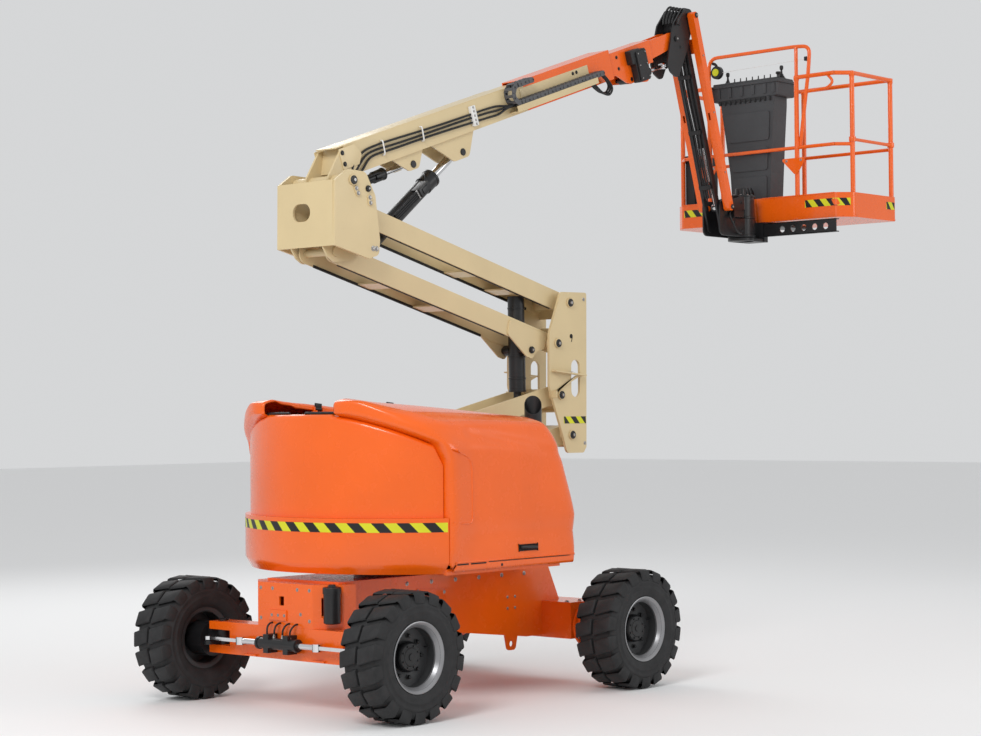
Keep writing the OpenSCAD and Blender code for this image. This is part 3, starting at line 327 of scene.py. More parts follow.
def own(name, body, mat, replaces):
    b = K.sets.pop((body, mat))
    bmesh.ops.recalc_face_normals(b, faces=b.faces)
    o = place(meshed(b, name), body, mat.split(":")[0], 40)
    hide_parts(*replaces)


def spline(points, sub):
    """Smooth line through points, with points between them."""
    q = [Vector(v) for v in points]
    q = [q[0] * 2 - q[1]] + q + [q[-1] * 2 - q[-2]]
    out = []
    for i in range(1, len(q) - 2):
        a, b, c, d = q[i - 1:i + 3]
        for t in [j / sub for j in range(sub)]:
            square, cube = 2 * a - 5 * b + 4 * c - d, 3 * b - a - 3 * c + d
            out.append(0.5 * (2 * b + (c - a) * t + square * t * t + cube * t ** 3))
    return out + [q[-2]]


def bend(points, r, n=6):
    """Path with round corners through world points."""
    out = [points[0]]
    for a, c, b in zip(points, points[1:], points[2:]):
        u, v = (a - c).normalized(), (b - c).normalized()
        d = min(r, (a - c).length * 0.49, (b - c).length * 0.49)
        p, q = c + u * d, c + v * d
        out += [p.lerp(c, t).lerp(c.lerp(q, t), t) for t in [i / n for i in range(n + 1)]]
    return out + [points[-1]]


def rounded(points, radii, n=6):
    """Outline with round corners."""
    out, k = [], len(points)
    for i in range(k):
        p, c, q = (Vector(points[j % k]) for j in (i - 1, i, i + 1))
        r = radii[i] if isinstance(radii, (list, tuple)) else radii
        if r == 0:
            out.append((c.x, c.y))
            continue
        a, b = (p - c).normalized(), (q - c).normalized()
        half = math.acos(max(-1.0, min(1.0, a.dot(b)))) / 2
        m = c + (a + b).normalized() * (r / math.sin(half))
        s, e = c + a * (r / math.tan(half)) - m, c + b * (r / math.tan(half)) - m
        t0 = math.atan2(s.y, s.x)
        turn = (math.atan2(e.y, e.x) - t0 + 3 * math.pi) % (2 * math.pi) - math.pi
        for t in [t0 + turn * j / n for j in range(n + 1)]:
            out.append((m.x + r * math.cos(t), m.y + r * math.sin(t)))
    return out


K = Kit()


def hose(body, T, r, *points, seg=10, sub=6):
    """Hose through points of a local frame."""
    K.tube(body, "hose", run(T, *points), r, seg, sub)



# Pins and eyes in the side view, and the frames that follow from them
BOOM_PIN, BOOM_ANGLE = (-842.0, 3510.0), math.radians(18.8)
BEAM_FRONT = {"upper_link": (1476, 2770), "upper_arm": (1335, 2464), "lower_link": (1367, 2081),
              "lower_arm": (1489, 1783)}
BEAM_BACK = {"upper_link": (-741.06, 3343.37), "upper_arm": (-882.06, 3037.37),
             "lower_arm": (-648.3, 1305.3)}
TOWER_PIN, TOWER_EYE = (1114.1, 2412.7), (1121.8, 1844.4)
LIFT_PIN, LIFT_EYE = (-500, 3049), (451.93, 3823.73)
LEVEL_PIN, LEVEL_EYE = (-700, 3462), (-60.51, 3696.81)
NOSE_PIN = (2985.36, 4952.38)
JIB_TOP, JIB_LOW = (3157.36, 5156.38), (3625.48, 3634.76)
JIB_LINK_TOP, JIB_LINK_LOW = (3148.36, 4986.38), (3616.48, 3464.76)
JIB_CYLINDER_TOP = (3151.36, 5046.38)
ROTATOR_X = 3975.48
BOOM = frame_of(BOOM_PIN, BOOM_ANGLE)
TOWER = along(TOWER_PIN, TOWER_EYE)
LIFT = along(LIFT_PIN, LIFT_EYE)
LEVEL = along(LEVEL_PIN, LEVEL_EYE)
JIB = along(JIB_TOP, JIB_LOW)
JIB_LINK = along(JIB_LINK_TOP, JIB_LINK_LOW)
JIB_CYLINDER = along(JIB_CYLINDER_TOP, JIB_LOW)


# Hoods: one smooth shell each, where rays from a middle point meet a rounded field
def sdf(x, z, poly):
    """Signed distance to an outline, negative inside."""
    d, s = np.full(x.shape, 1e18), np.ones(x.shape)
    for i in range(len(poly)):
        a, b = poly[i], poly[i - 1]
        ex, ez, wx, wz = b[0] - a[0], b[1] - a[1], x - a[0], z - a[1]
        t = np.clip((wx * ex + wz * ez) / (ex * ex + ez * ez), 0, 1)
        d = np.minimum(d, (wx - ex * t) ** 2 + (wz - ez * t) ** 2)
        c1, c2, c3 = z >= a[1], z < b[1], ex * wz > ez * wx
        s = np.where((c1 & c2 & c3) | (~c1 & ~c2 & ~c3), -s, s)
    return s * np.sqrt(d)


def smax(a, b, k):
    """Larger of two fields, blended over k."""
    h = np.maximum(k - np.abs(a - b), 0) / k
    return np.maximum(a, b) + h * h * k / 4


HOOD_SIDE = rounded([(-1095, 1955), (-1095, 2030), (-1000, 2062), (-880, 2058), (395, 1928), (462, 1800),
                     (660, 1245), (590, 915), (-654, 915), (-654, 1640), (-700, 1752), (-1025, 1924)],
                    [10, 34, 60, 120, 90, 60, 70, 16, 0, 90, 90, 60])
HOOD_SECTION = rounded([(334, 850), (334, 2075), (524, 2040), (760, 1960), (905, 1885), (985, 1720),
                        (1000, 1240), (970, 850)], [0, 25, 160, 160, 120, 110, 90, 0])
HOOD_FOOT, HOOD_END, HOOD_OUT, SWING_R = 915, 660, 1000, 1176
BROW_X, BROW_Z = [-654, -700, -1025, -1095], [1640, 1752, 1924, 2030]
HOOD_MID, HOOD_HALF, HOOD_STEP = (-100.0, -667.0, 1640.0), 333.0, 22
HINGE_AT, HINGE_SLOPE = (-300, 350, 1959), 0.1012


def hood_field(x, y, z):
    """Below zero inside the hood: its side and section blended, with a valley, inside the swing."""
    soft = np.clip((x - np.interp(z, BROW_Z, BROW_X)) / 260, 0, 1)
    k = (20 + 80 * soft * soft * (3 - 2 * soft)) * np.clip((z - HOOD_FOOT) / 220, 0.12, 1)
    f = smax(sdf(x, z, HOOD_SIDE), sdf(np.abs(y), z, HOOD_SECTION), k)
    x0, z0, length, drop, depth, width = -420, 1813, 900, 140, 17, 40
    at = np.clip((x - x0) / length, 0, 1)
    off = np.hypot(x - (x0 + length * at), z - (z0 - drop * at))
    fade = np.sin(math.pi * np.clip(at, 0.12, 0.93)) ** 0.5
    f = f + np.where(np.abs(y) > 700, depth * np.exp(-(off / width) ** 2) * fade, 0)
    return smax(f, np.maximum(np.hypot(x, y) - SWING_R, np.maximum(x - HOOD_END, np.abs(y) - HOOD_OUT)), k)


def hood_y(x, z):
    """How far out the hood's side is at a place."""
    lo, hi = 600.0, 1100.0
    for _ in range(24):
        mid = (lo + hi) / 2
        inside = hood_field(np.array([x]), np.array([mid]), np.array([z]))[0] < 0
        lo, hi = (mid, hi) if inside else (lo, mid)
    return lo


def hood_grid():
    """Places on the near hood, in rows round its side outline."""
    line = [Vector(p) for p in HOOD_SIDE] + [Vector(HOOD_SIDE[0])]
    rows = []
    for a, b in zip(line, line[1:]):
        n = max(1, int((b - a).length / HOOD_STEP))
        rows += [a.lerp(b, i / n) for i in range(n)]
    middle = [math.atan(v) for v in np.linspace(-1, 1, 44)]
    cap = list(np.radians(np.linspace(45, 86, 22)[1:]))
    turn = np.array([-v for v in reversed(cap)] + middle + cap)
    cx, cy, cz = HOOD_MID
    ray = np.array([(p.x - cx, p.y - cz) for p in rows])
    dx, dz = ray[:, 0:1] * np.cos(turn), ray[:, 1:2] * np.cos(turn)
    dy = -HOOD_HALF * np.sin(turn)[None, :] + 0 * dx
    lo, hi = np.zeros(dx.shape), np.full(dx.shape, 2.2)
    for _ in range(26):
        mid = (lo + hi) / 2
        inside = hood_field(cx + dx * mid, cy + dy * mid, cz + dz * mid) < 0
        lo, hi = np.where(inside, mid, lo), np.where(inside, hi, mid)
    return cx + dx * lo, cy + dy * lo, cz + dz * lo


HOOD_X, HOOD_Y, HOOD_Z = hood_grid()


def hood(name, side):
    """Shell open below and towards the middle, with its two hinges; side is 1 for the near one."""
    rows, columns = HOOD_X.shape
    b = bmesh.new()
    grid = [[b.verts.new(P(HOOD_X[i, j], HOOD_Y[i, j] * side, HOOD_Z[i, j])) for j in range(columns)]
            for i in range(rows)]
    for i in range(rows):
        k = (i + 1) % rows
        for j in range(columns - 1):
            b.faces.new((grid[i][j], grid[k][j], grid[k][j + 1], grid[i][j + 1]))
    for j in (0, columns - 1):
        b.faces.new([grid[i][j] for i in range(rows)])
    bmesh.ops.recalc_face_normals(b, faces=b.faces)
    drop = []
    for f in b.faces:
        c = f.calc_center_median()
        below = f.normal.z < -0.8 and c.z < 0.94
        behind = c.x < -0.618 - SLEW_BACK and c.z < 0.95
        inner = f.normal.y * side > 0.8 and abs(c.y) < 0.345
        if below or behind or inner:
            drop.append(f)
    bmesh.ops.delete(b, geom=drop, context="FACES")
    o = place(meshed(b, name + ".shell"), name, "orange", 42)
    s = o.modifiers.new("wall", "SOLIDIFY")
    s.thickness, s.offset = 0.011, -1
    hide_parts(name)

    def hinge(x, y, z):
        c, s = math.cos(HINGE_SLOPE), math.sin(HINGE_SLOPE)
        return P(HINGE_AT[0] + x * c + z * s, -side * (HINGE_AT[1] + y), HINGE_AT[2] - x * s + z * c)

    for x in (-280, 420):
        K.rod(name, "black", hinge(x - 30, 0, 0), hinge(x + 30, 0, 0), 14)
        K.box(name, "black", (x - 30, -6, 8), (x + 30, 6, 40), hinge, 2)


hood("hood_near", 1)
hood("hood_far", -1)

# Tail cover: one turned shell with a rounded top
TAIL_R, TAIL_FOOT, TAIL_HALF = 1134.0, 1268.3, 54.2


def tail_top(y):
    """Height of the cover's top, which falls outside its middle part."""
    return 1950 - max(0.0, abs(y) - 330) * math.tan(math.radians(14))


def tail_cover():
    wall, edge, b = 40.0, 34.0, bmesh.new()
    rows = []
    for t in np.radians(np.linspace(-TAIL_HALF, TAIL_HALF, 240)):
        x, y = -TAIL_R * math.cos(t), TAIL_R * math.sin(t)
        top = tail_top(y)
        if abs(y) > 322 and x > -1108:
            top = min(top, float(np.interp(x, [-1108, -1033, -708, -664], [1949, 1916, 1744, 1632])))
        top = max(top, 1300)
        half_way = TAIL_FOOT + (top - edge - TAIL_FOOT) / 2
        profile = [(TAIL_R, TAIL_FOOT), (TAIL_R, half_way), (TAIL_R, top - edge)]
        for a in np.radians([15, 30, 45, 60, 75, 90]):
            profile.append((TAIL_R - edge + edge * math.cos(a), top - edge + edge * math.sin(a)))
        profile += [(TAIL_R - wall, top), (TAIL_R - wall, TAIL_FOOT)]
        rows.append([b.verts.new(P(-q * math.cos(t), q * math.sin(t), z)) for q, z in profile])
    for row, after in zip(rows, rows[1:]):
        for j in range(len(row) - 1):
            b.faces.new((row[j], after[j], after[j + 1], row[j + 1]))
        b.faces.new((row[-1], after[-1], after[0], row[0]))
    b.faces.new(rows[0])
    b.faces.new(rows[-1])
    bmesh.ops.recalc_face_normals(b, faces=b.faces)
    o = place(meshed(b, "tail_cover.shell"), "turntable", "orange", 42)
    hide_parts("tail_cover")


tail_cover()


# Hazard stripes on the counterweight and the column
def stripes(body, fn, s0, s1, h0, h1, pitch, lean):
    """Yellow band with slanted black bars; fn gives the point at a run, a height and a lift."""
    k, s = 0, s0 - abs(lean)
    while s < s1 + abs(lean):
        quad, seen = [], False
        for i in range(5):
            for h, off in ((h0, 0.0), (h1, lean)):
                t = s + off + i / 4 * pitch / 2
                seen = seen or s0 < t < s1
                quad.append(fn(min(s1, max(s0, t)), h, 1.0))
        if seen:
            faces = [(2 * i, 2 * i + 2, 2 * i + 3, 2 * i + 1) for i in range(4)]
            K.add(body, ("yellow", "stripe")[k % 2], quad, faces)
        s += pitch / 2
        k += 1


BAND_R, BAND_HALF, COLUMN_Y = 1170, math.radians(55.3), 210


def band(s, h, lift):
    t = s / BAND_R
    return P(-(BAND_R + lift) * math.cos(t), (BAND_R + lift) * math.sin(t), h)


def flank(y, side):
    """Side face, for stripes along the machine."""
    return lambda s, h, lift: P(s, side * (y + lift), h)


stripes("turntable", band, -BAND_R * BAND_HALF, BAND_R * BAND_HALF, 1178, 1240, 168, 60)
for side in SIDES:
    stripes("column", flank(COLUMN_Y, side), 1398, 1656, 1868, 1920, 118, -50)

# Wheels
WHEEL_X, WHEEL_Y, WHEEL_R = 1143, 1011.0, 420


def tyre(body, x, side):
    """Turned carcass with rings on its walls and two rows of blocks that run down over the shoulder."""
    half, count = 159.0, 18
    wall = [(212, half - 40), (222, half - 22), (238, half - 12), (262, half - 4), (280, half - 1),
            (286, half + 1), (292, half + 1), (297, half - 2), (318, half - 1), (324, half + 1),
            (330, half + 1), (338, half - 4), (362, half - 10), (382, half - 24), (391, half - 60), (394, 0)]
    bead = [(209, 44 - half), (209, half - 44), wall[0]]
    o = P(x, side * WHEEL_Y, WHEEL_R)
    carcass = wall + [(r, -w) for r, w in reversed(wall[:-1])] + bead
    K.lathe(body, "rubber", o, across(side), carcass, 96, False)
    block = [(7, 386), (10, 414), (17, 419.4), (half - 30, 419.4), (half - 12, 413), (half - 2, 396),
             (half + 0.5, 366), (half - 1, 342), (half - 12, 334)]
    n = 6
    faces = [(k * n + j, k * n + j + 1, (k + 1) * n + j + 1, (k + 1) * n + j)
             for k in range(len(block) - 1) for j in range(n - 1)] + [list(range(n))]
    for row in (1, -1):
        for i in range(count):
            t0 = 2 * math.pi * (i + (0.5 if row < 0 else 0)) / count
            verts = []
            for w, r in block:
                f = (w - 8) / (half - 10)
                mid, wide = 44 * (f - 1) * row, 50.0 - 4 * f
                for c, lift in ((-wide - 6, -12), (-wide, -2.5), (-wide + 5, 0),
                                (wide - 5, 0), (wide, -2.5), (wide + 6, -12)):
                    a = t0 + (mid + c) / WHEEL_R
                    q, v = (r + lift, w) if w < half - 14 else (r, w + lift * 0.5)
                    spot = (math.cos(a) * q / 1000, row * v / 1000, math.sin(a) * q / 1000)
                    verts.append(o + Vector(spot))
            K.add(body, "rubber", verts, faces)


def rim(body, x, side):
    """Rim ring, hub, wheel nuts, hub bolts and the valve."""
    o, n = P(x, side * WHEEL_Y, WHEEL_R), across(side)
    lip = [(190, 92), (196, 104), (204, 118), (212, 130), (224, 140), (228, 146), (222, 148), (208, 138),
           (198, 124), (188, 106), (190, 92)]
    hub = [(97, 14), (97, 52), (94, 58), (86, 68), (84, 70), (60, 72), (56, 76), (24, 77), (22, 82), (0, 83)]
    K.lathe(body, "rim_ring", o, n, lip, 72, False)
    K.lathe(body, "black", o, n, hub, 48)
    for c, s in ring(9):
        p = o + Vector((c, 0, s)) * 0.132 + n * 0.019
        K.lathe(body, "black", p, n, [(17, 0), (17, 5), (13, 7), (13, 22), (10, 25), (0, 25)], 6)
    cover = [o + Vector((c, 0, s)) * 0.071 + n * 0.0705 for c, s in ring(8, 0.5)]
    K.bolts(body, cover, n, 7, "black", False)
    valve = o + Vector((0.165, 0, 0.05)) + n * 0.03
    K.lathe(body, "dark", valve, n, [(5, 0), (5, 28), (3, 32), (0, 32)], 10)


for wheel in WHEELS:
    x, side = -WHEEL_X if "steer" in wheel else WHEEL_X, -1 if "near" in wheel else 1
    tyre("wheel_" + wheel, x, side)
    rim("wheel_" + wheel, x, side)


# Pins, the upright's keepers and the column's bracket
def pin(body, p, y, side, r):
    """Pin face with a centre bolt."""
    n, o = across(side), P(p[0], side * y, p[1])
    face = [(r, 0), (r, 3), (r - 3, 6), (r * 0.5, 6), (r * 0.45, 4), (0, 4)]
    K.lathe(body, "black", o, n, face, 32)
    K.bolt(body, o + n * 0.004, n, r * 0.42, "zinc", False)


UPRIGHT_Y = 282


def keeper(p, angle, side):
    """Bar with two bolts that holds a pin of the upright."""
    o, n = P(p[0], side * UPRIGHT_Y, p[1]), across(side)
    d = Vector((math.cos(angle), 0, math.sin(angle)))

    def T(u, y, w):
        return o + d * (u / 1000) + n * (y / 1000) + d.cross(n) * (w / 1000)

    K.box("upright", "cream", (44, 0, -16), (112, 9, 16), T, 2)
    K.bolts("upright", run(T, (60, 9, 0), (96, 9, 0)), n, 10)


def column_dress(side):
    """Bent shelf bracket, bolts and the drain hole, drawn as a dark disc and slit of painted shade."""
    n, y = across(side), side * COLUMN_Y
    shelf = rounded([(1262, 2262), (1612, 2232), (1612, 2222), (1262, 2252)], 3, 2)
    K.prism("column", "cream", shelf, y, side * 262, P, 1.5)
    brace = [(1590, 2226), (1530, 2226), (1280, 2082), (1280, 2096)]
    K.prism("column", "cream", brace, side * 212, side * 222, P, 1.5)
    K.box("column", "cream", (1268, y, 2060), (1280, side * 250, 2112), P, 2)
    K.bolt("column", P(1470, side * 236, 2244), UP, 14)
    # Drain hole: a thin near-black disc and slit on the face, painted shade of the hole's inside
    K.lathe("column", "inside", P(1492, side * 210.6, 2520), n, [(17, 0), (17, 0.8), (0, 0.8)], 20)
    slit = [(1500, 2506), (1509, 2514), (1498, 2478), (1490, 2480)]
    K.prism("column", "inside", slit, side * 210.5, side * 211.3, P, 0)
    K.bolts("column", run(P, (1640, y, 2800), (1640, y, 1720)), n, 9)


# Body, place, distance from the middle plane and radius
PINS = [(body, p, 222, 30) for body, p in BEAM_FRONT.items()] + [
    ("boom", BOOM_PIN, 294, 30), ("level_barrel", LEVEL_PIN, 290, 20), ("jib", JIB_TOP, 166, 22),
    ("jib", JIB_LOW, 166, 22), ("jib_head", NOSE_PIN, 96, 22), ("tower_barrel", TOWER_PIN, 154, 24),
]
for side in SIDES:
    for body, p, y, r in PINS:
        pin(body, p, y, side, r)
    keeper(BOOM_PIN, -1.1, side)
    keeper(LEVEL_PIN, -1.4, side)
    y = side * UPRIGHT_Y
    K.bolts("upright", run(P, (-655, y, 3062), (-622, y, 3062)), across(side), 12)
    column_dress(side)

# Tower: black strips along the beams' lower edges, painted shade of their open undersides
UNDERSIDE_SHADE = {"upper_arm": (70, 1800), "upper_link": (70, 2180), "lower_arm": (60, 2080)}
for body, (x0, x1) in UNDERSIDE_SHADE.items():
    T = along(BEAM_BACK[body], BEAM_FRONT[body])
    for y in (-117, 117):
        K.box(body, "hose", (x0, y - 5, -77), (x1, y + 5, -58), T, 2)

# Boom: end box, top plate, hoses with clips and the tray's back plate
for side in SIDES:
    n = across(side)
    end_plate = rounded([(96, 58), (96, 200), (252, 200), (300, 120), (252, 58)], [6, 6, 6, 30, 6])
    K.prism("boom", "cream", end_plate, side * 117, side * 123, BOOM, 1.5)
    K.bolts("boom", run(BOOM, (120, side * 123, 170), (120, side * 123, 92)), n, 11, "black")
    for x, z in ((1326, -120), (800, -77)):
        K.lathe("boom", "black", BOOM(x, side * 86, z), n, [(26, 0), (26, 5), (22, 8), (0, 8)], 28)
K.box("boom", "cream", (92, -96, 206), (1900, 96, 215), BOOM, 2)
for i in range(3):
    y, z = -109, 140 - 30 * i
    path = [(166 + 34 * i, -124, 14), (206 + 32 * i, y - 6, z - 70), (330 + 20 * i, y, z - 12), (470, y, z)]
    path += [(x, y, z + 3 * math.sin(x / 240 + 1.7 * i) - (x - 470) * 0.02) for x in range(600, 1700, 130)]
    path += [(1760, y - 6, z - 28), (1850, y - 24, 92 - 8 * i), (1960, y - 40, 84 - 6 * i)]
    hose("boom", BOOM, 8, *path, sub=5)
for x in (520, 930):
    clip = run(BOOM, (x - 6, -100, 58), (x - 4, -120, 64), (x, -122, 108), (x + 4, -120, 152),
               (x + 6, -100, 158))
    K.tube("boom", "clip", clip, 5.5, 8)
K.box("boom", "clip", (1470, -126, 30), (1520, -100, 176), BOOM, 3)
K.bolts("boom", [BOOM(1495, -126, z) for z in (44, 72, 104, 136, 164)], NEAR, 6)
K.box("boom", "cream", (2060, -105, 62), (2890, -100.5, 176), BOOM, 1)
K.bolts("boom", run(BOOM, (2700, -105, 150), (2745, -105, 150)), NEAR, 9, "black")


# Cable carrier: links along the tray, round the loop and back, and the hoses at its end
def carrier_link(x, z, angle, k):
    """One link of the cable carrier: side plates with a pivot, and a cross bar."""
    c, s = math.cos(angle), math.sin(angle)

    def T(u, y, w):
        return BOOM(x + u * c - w * s, y, z + u * s + w * c)

    lift = 2.5 if k % 2 else 0.0
    plate = rounded([(-27, -20), (27, -20), (27, 20), (-27, 20)], 13, 4)
    for y0, y1 in ((-183.5 - lift, -178), (-107, -103.5 + lift)):
        K.prism("boom", "carrier:links", plate, y0, y1, T, 1.2)
    K.box("boom", "carrier:links", (-11, -180, 17), (11, -106, 22.5), T, 1.5)
    K.lathe("boom", "dark", T(21, -183.5 - lift, 0), NEAR, [(7, 0), (7, 1.5), (0, 1.5)], 14)


LOOP_X, LOOP_Z, LOOP_R, LINK_PITCH = 1964, 152, 66, 46
for k in range(22):
    carrier_link(LOOP_X + 23 + k * LINK_PITCH, LOOP_Z - LOOP_R, 0, k)
for k in range(4):
    carrier_link(LOOP_X + 20 + k * LINK_PITCH, LOOP_Z + LOOP_R, 0, k)
for k in range(5):
    t = math.pi / 2 + math.pi * (k + 0.5) / 5
    carrier_link(LOOP_X + LOOP_R * math.cos(t), LOOP_Z + LOOP_R * math.sin(t), t - math.pi / 2, k)
for i in range(3):
    y = -128 - 16 * i
    hose("boom", BOOM, 8.5, (2930, y, 86), (2985, y, 80 - 4 * i), (3040, y - 4, 20 - 10 * i),
         (3052, y - 6, -32 - 12 * i), (3010, y, -70 - 10 * i), (2940, y, -50 - 6 * i), (2884, y, -4),
         (2862, y, 25))

# Lift, levelling and tower cylinders: valve block with its lines, gland rings, bands
K.box("lift_barrel", "black", (668, -100, -6), (788, -20, 58), LIFT, 5)
K.box("lift_barrel", "black", (694, -106, 4), (760, -98, 44), LIFT, 3)
for i in range(4):
    z = 2 + 15 * i
    hose("lift_barrel", LIFT, 7.5, (676, -76, z), (590, -74, z), (480, -71, z), (380, -70, z))
    fitting = LIFT(680, -76, z)
    K.lathe("lift_barrel", "zinc", fitting, LIFT(640, -76, z) - fitting,
            [(11, 0), (11, 20), (9, 24), (0, 24)], 6)
pipe = run(LIFT, (780, -66, 40), (812, -56, 60), (850, -30, 70), (880, 0, 70))
K.tube("lift_barrel", "black", pipe, 7)
K.lathe("lift_barrel", "black", LIFT(896, 0, 0), axis(LIFT),
        [(67, 0), (70, 3), (70, 20), (66, 24), (34, 24)], 48)
K.lathe("level_barrel", "black", LEVEL(436, 0, 0), axis(LEVEL),
        [(43, 0), (45, 3), (45, 14), (42, 17), (22, 17)], 40)
for i in range(2):
    hose("level_barrel", LEVEL, 7, (400, -36, 20 - 40 * i), (340, -58, 30 - 50 * i), (220, -56, 30 - 44 * i),
         (120, -52, 10 - 20 * i), (50, -46, 0))
for x in (-320, -150, 40, 200, 292):
    K.lathe("tower_barrel", "black", TOWER(x, 0, 0), axis(TOWER, x),
            [(62, 0), (65, 2), (65, 14), (62, 16)], 48)

# Fly nose, jib head and jib
for side in SIDES:
    n, y = across(side), side * 82
    K.bolts("fly", run(BOOM, (3290, y, 150), (3290, y, 60), (3560, y, 150)), n, 9, "black")
    head = [P(NOSE_PIN[0] + x, side * 90, NOSE_PIN[1] + z) for x, z in ((90, 200), (40, 120), (60, -60))]
    K.bolts("jib_head", head, n, 10, "black")
    K.bolts("jib", [JIB(x, side * 158, 0) for x in (330, 800, 1300)], n, 7, "zinc", False)
K.box("fly", "dark", (3452, -158, -78), (3578, -144, 148), BOOM, 5)
lid = [BOOM(x, -158, z) for x in (3470, 3560) for z in (-62, 40, 132)]
K.bolts("fly", lid, NEAR, 6, "zinc", False)
for i in range(4):
    y = -45 + 30 * i
    hose("jib_head", P, 9, (2992, y, 5082), (3008, y, 5130 + 6 * i), (3052, y, 5190 + 9 * i),
         (3100, y, 5216 + 8 * i), (3130, y, 5204), (3140, y, 5162))
    hose("jib_head", P, 7, (2996 - 5 * i, -102 - 3 * i, 5066), (3008 - 5 * i, -108 - 4 * i, 5112),
         (3040, -110 - 4 * i, 5148 + 8 * i), (3078, -104, 5182 + 8 * i), (3108, -94, 5192), seg=8)
for i, y in enumerate((-34, -12, 12, 34)):
    hose("jib_link", JIB_LINK, 8, (190, y, -32), (300, y, -36), (500, y + 5 * math.sin(i), -37),
         (760, y - 4, -36 - 2 * (i % 2)), (1000, y + 4 * math.cos(i), -37), (1200, y, -36),
         (1330, y, -32), sub=5)
for x in (300, 760, 1220):
    K.box("jib_link", "dark", (x, -56, -50), (x + 34, 56, -26), JIB_LINK, 4)
K.lathe("jib_barrel", "black", JIB_CYLINDER(955, 0, 0), axis(JIB_CYLINDER),
        [(40, 0), (43, 3), (43, 16), (40, 19), (20, 19)], 40)

# Platform support and rotator
for z in (3410, 3560, 3740):
    K.lathe("platform_support", "black", P(ROTATOR_X, 0, z), UP,
            [(115, 0), (122, 3), (122, 15), (115, 18)], 48)
cap_bolts = [P(ROTATOR_X + 96 * c, 96 * s, 3754.8) for c, s in ring(10)]
K.bolts("platform_support", cap_bolts, UP, 9)
for side in SIDES:
    y = side * 90
    cheek = run(P, (3720, y, 3640), (3860, y, 3690), (3860, y, 3460), (3760, y, 3520))
    K.bolts("platform_support", cheek, across(side), 11, "black")
    K.box("platform_support", "black", (3700, y, 3560), (3850, side * 126, 3620), P, 6)
    hose("platform_support", P, 8, (3690, side * 96, 3600), (3660, side * 120, 3560),
         (3690, side * 128, 3500), (3760, side * 120, 3440), (3840, side * 100, 3430))

# Basket: hoop, line with its reel, gussets, post feet and the bar at the entry
FRONT_X, BACK_X, BASKET_HALF = 4205.48, 4960.48, 900
RAIL_Z, FLOOR_Z, HOOP_Z, LINE_Z = 4742.76, 3552.76, 5003, 4876
RAIL_INSET = 26.3
RAIL_X = FRONT_X + RAIL_INSET
LINE_X = RAIL_X + 12

hoop = run(P, (RAIL_X, 500, RAIL_Z + 18), (RAIL_X, 500, HOOP_Z), (RAIL_X, -404, HOOP_Z),
           (RAIL_X, -536, 4990), (RAIL_X + 6, -520, RAIL_Z + 60), (RAIL_X + 14, -424, 4168))
K.tube("basket", "orange:hoop", bend(hoop, 0.09), 16, 14, smooth=False)
K.tube("basket", "orange:hoop", run(P, (RAIL_X, -400, RAIL_Z), (RAIL_X, -400, HOOP_Z)), 15.5, 14,
       smooth=False)
K.lathe("basket", "black", P(RAIL_X + 34, 424, LINE_Z), FRONT,
        [(30, -6), (52, 0), (56, 4), (56, 38), (52, 42), (34, 44), (0, 44)], 36)
K.lathe("basket", "yellow", P(RAIL_X - 10, 424, LINE_Z), FRONT,
        [(32, 0), (32, 5), (28, 8), (10, 8), (0, 9)], 32)
arm = run(P, (LINE_X, 470, 4960), (LINE_X, 440, 4950), (LINE_X, 412, 4900), (LINE_X, 420, 4880))
K.tube("basket", "black", bend(arm, 0.04), 13, smooth=False)
K.rod("basket", "label", P(LINE_X, 372, 4872), P(LINE_X, -494, 4890), 2.0, 8, 0.4)
K.box("basket", "black", (RAIL_X - 10, -522, 4872), (RAIL_X + 28, -484, 4908), P, 6)
for y in (-400, 500):
    gusset = rounded([(y + 150, 4064), (y - 84, 4064), (y - 84, 4030), (y - 14, 3930), (y + 14, 3930)],
                     [12, 6, 6, 6, 6])
    K.prism("basket", "orange", gusset, RAIL_X - 26, RAIL_X - 17, crosswise, 1.5)
    K.bolts("basket", run(P, (RAIL_X - 26, y + 90, 4044), (RAIL_X - 26, y - 54, 4044)), FRONT, 7)
entry = run(P, (RAIL_X + 10, -452, RAIL_Z - 132), (LINE_X, -700, RAIL_Z - 118),
            (LINE_X, -760, RAIL_Z - 70), (RAIL_X + 8, -700, RAIL_Z - 4))
K.tube("basket", "orange", bend(entry, 0.05), 12, 12, smooth=False)
POST_Y, POST_BACK = BASKET_HALF - RAIL_INSET, BACK_X - RAIL_INSET
for x, y in ((RAIL_X + 110, -POST_Y), (POST_BACK, -POST_Y), (POST_BACK, 0), (POST_BACK, POST_Y),
             (RAIL_X + 110, POST_Y), (RAIL_X, -400), (RAIL_X, 500)):
    K.lathe("basket", "orange", P(x, y, FLOOR_Z), UP, [(34, 0), (34, 6), (30, 8), (21, 9)], 20)
    K.lathe("basket", "orange", P(x, y, RAIL_Z - 30), UP, [(21, 0), (23, 3), (23, 40), (20, 44)], 20)


# Basket: stripes on the toe board, its front lips and the floor's ribs
def toe_end(x, way):
    """Front or back face."""
    return lambda s, h, lift: P(x + way * lift, s, h)


def toe_corner(s, h, lift):
    """Run along the toe board's front face, round its corner and on along the chamfer."""
    r, y = 60.0, -765.1
    if s <= 0:
        return P(FRONT_X - lift, y - s, h)
    t = min(s / r, math.pi / 4)
    d = max(0.0, s - r * math.pi / 4) * math.sqrt(0.5)
    return P(FRONT_X + r - (r + lift) * math.cos(t) + d, y - (r + lift) * math.sin(t) - d, h)


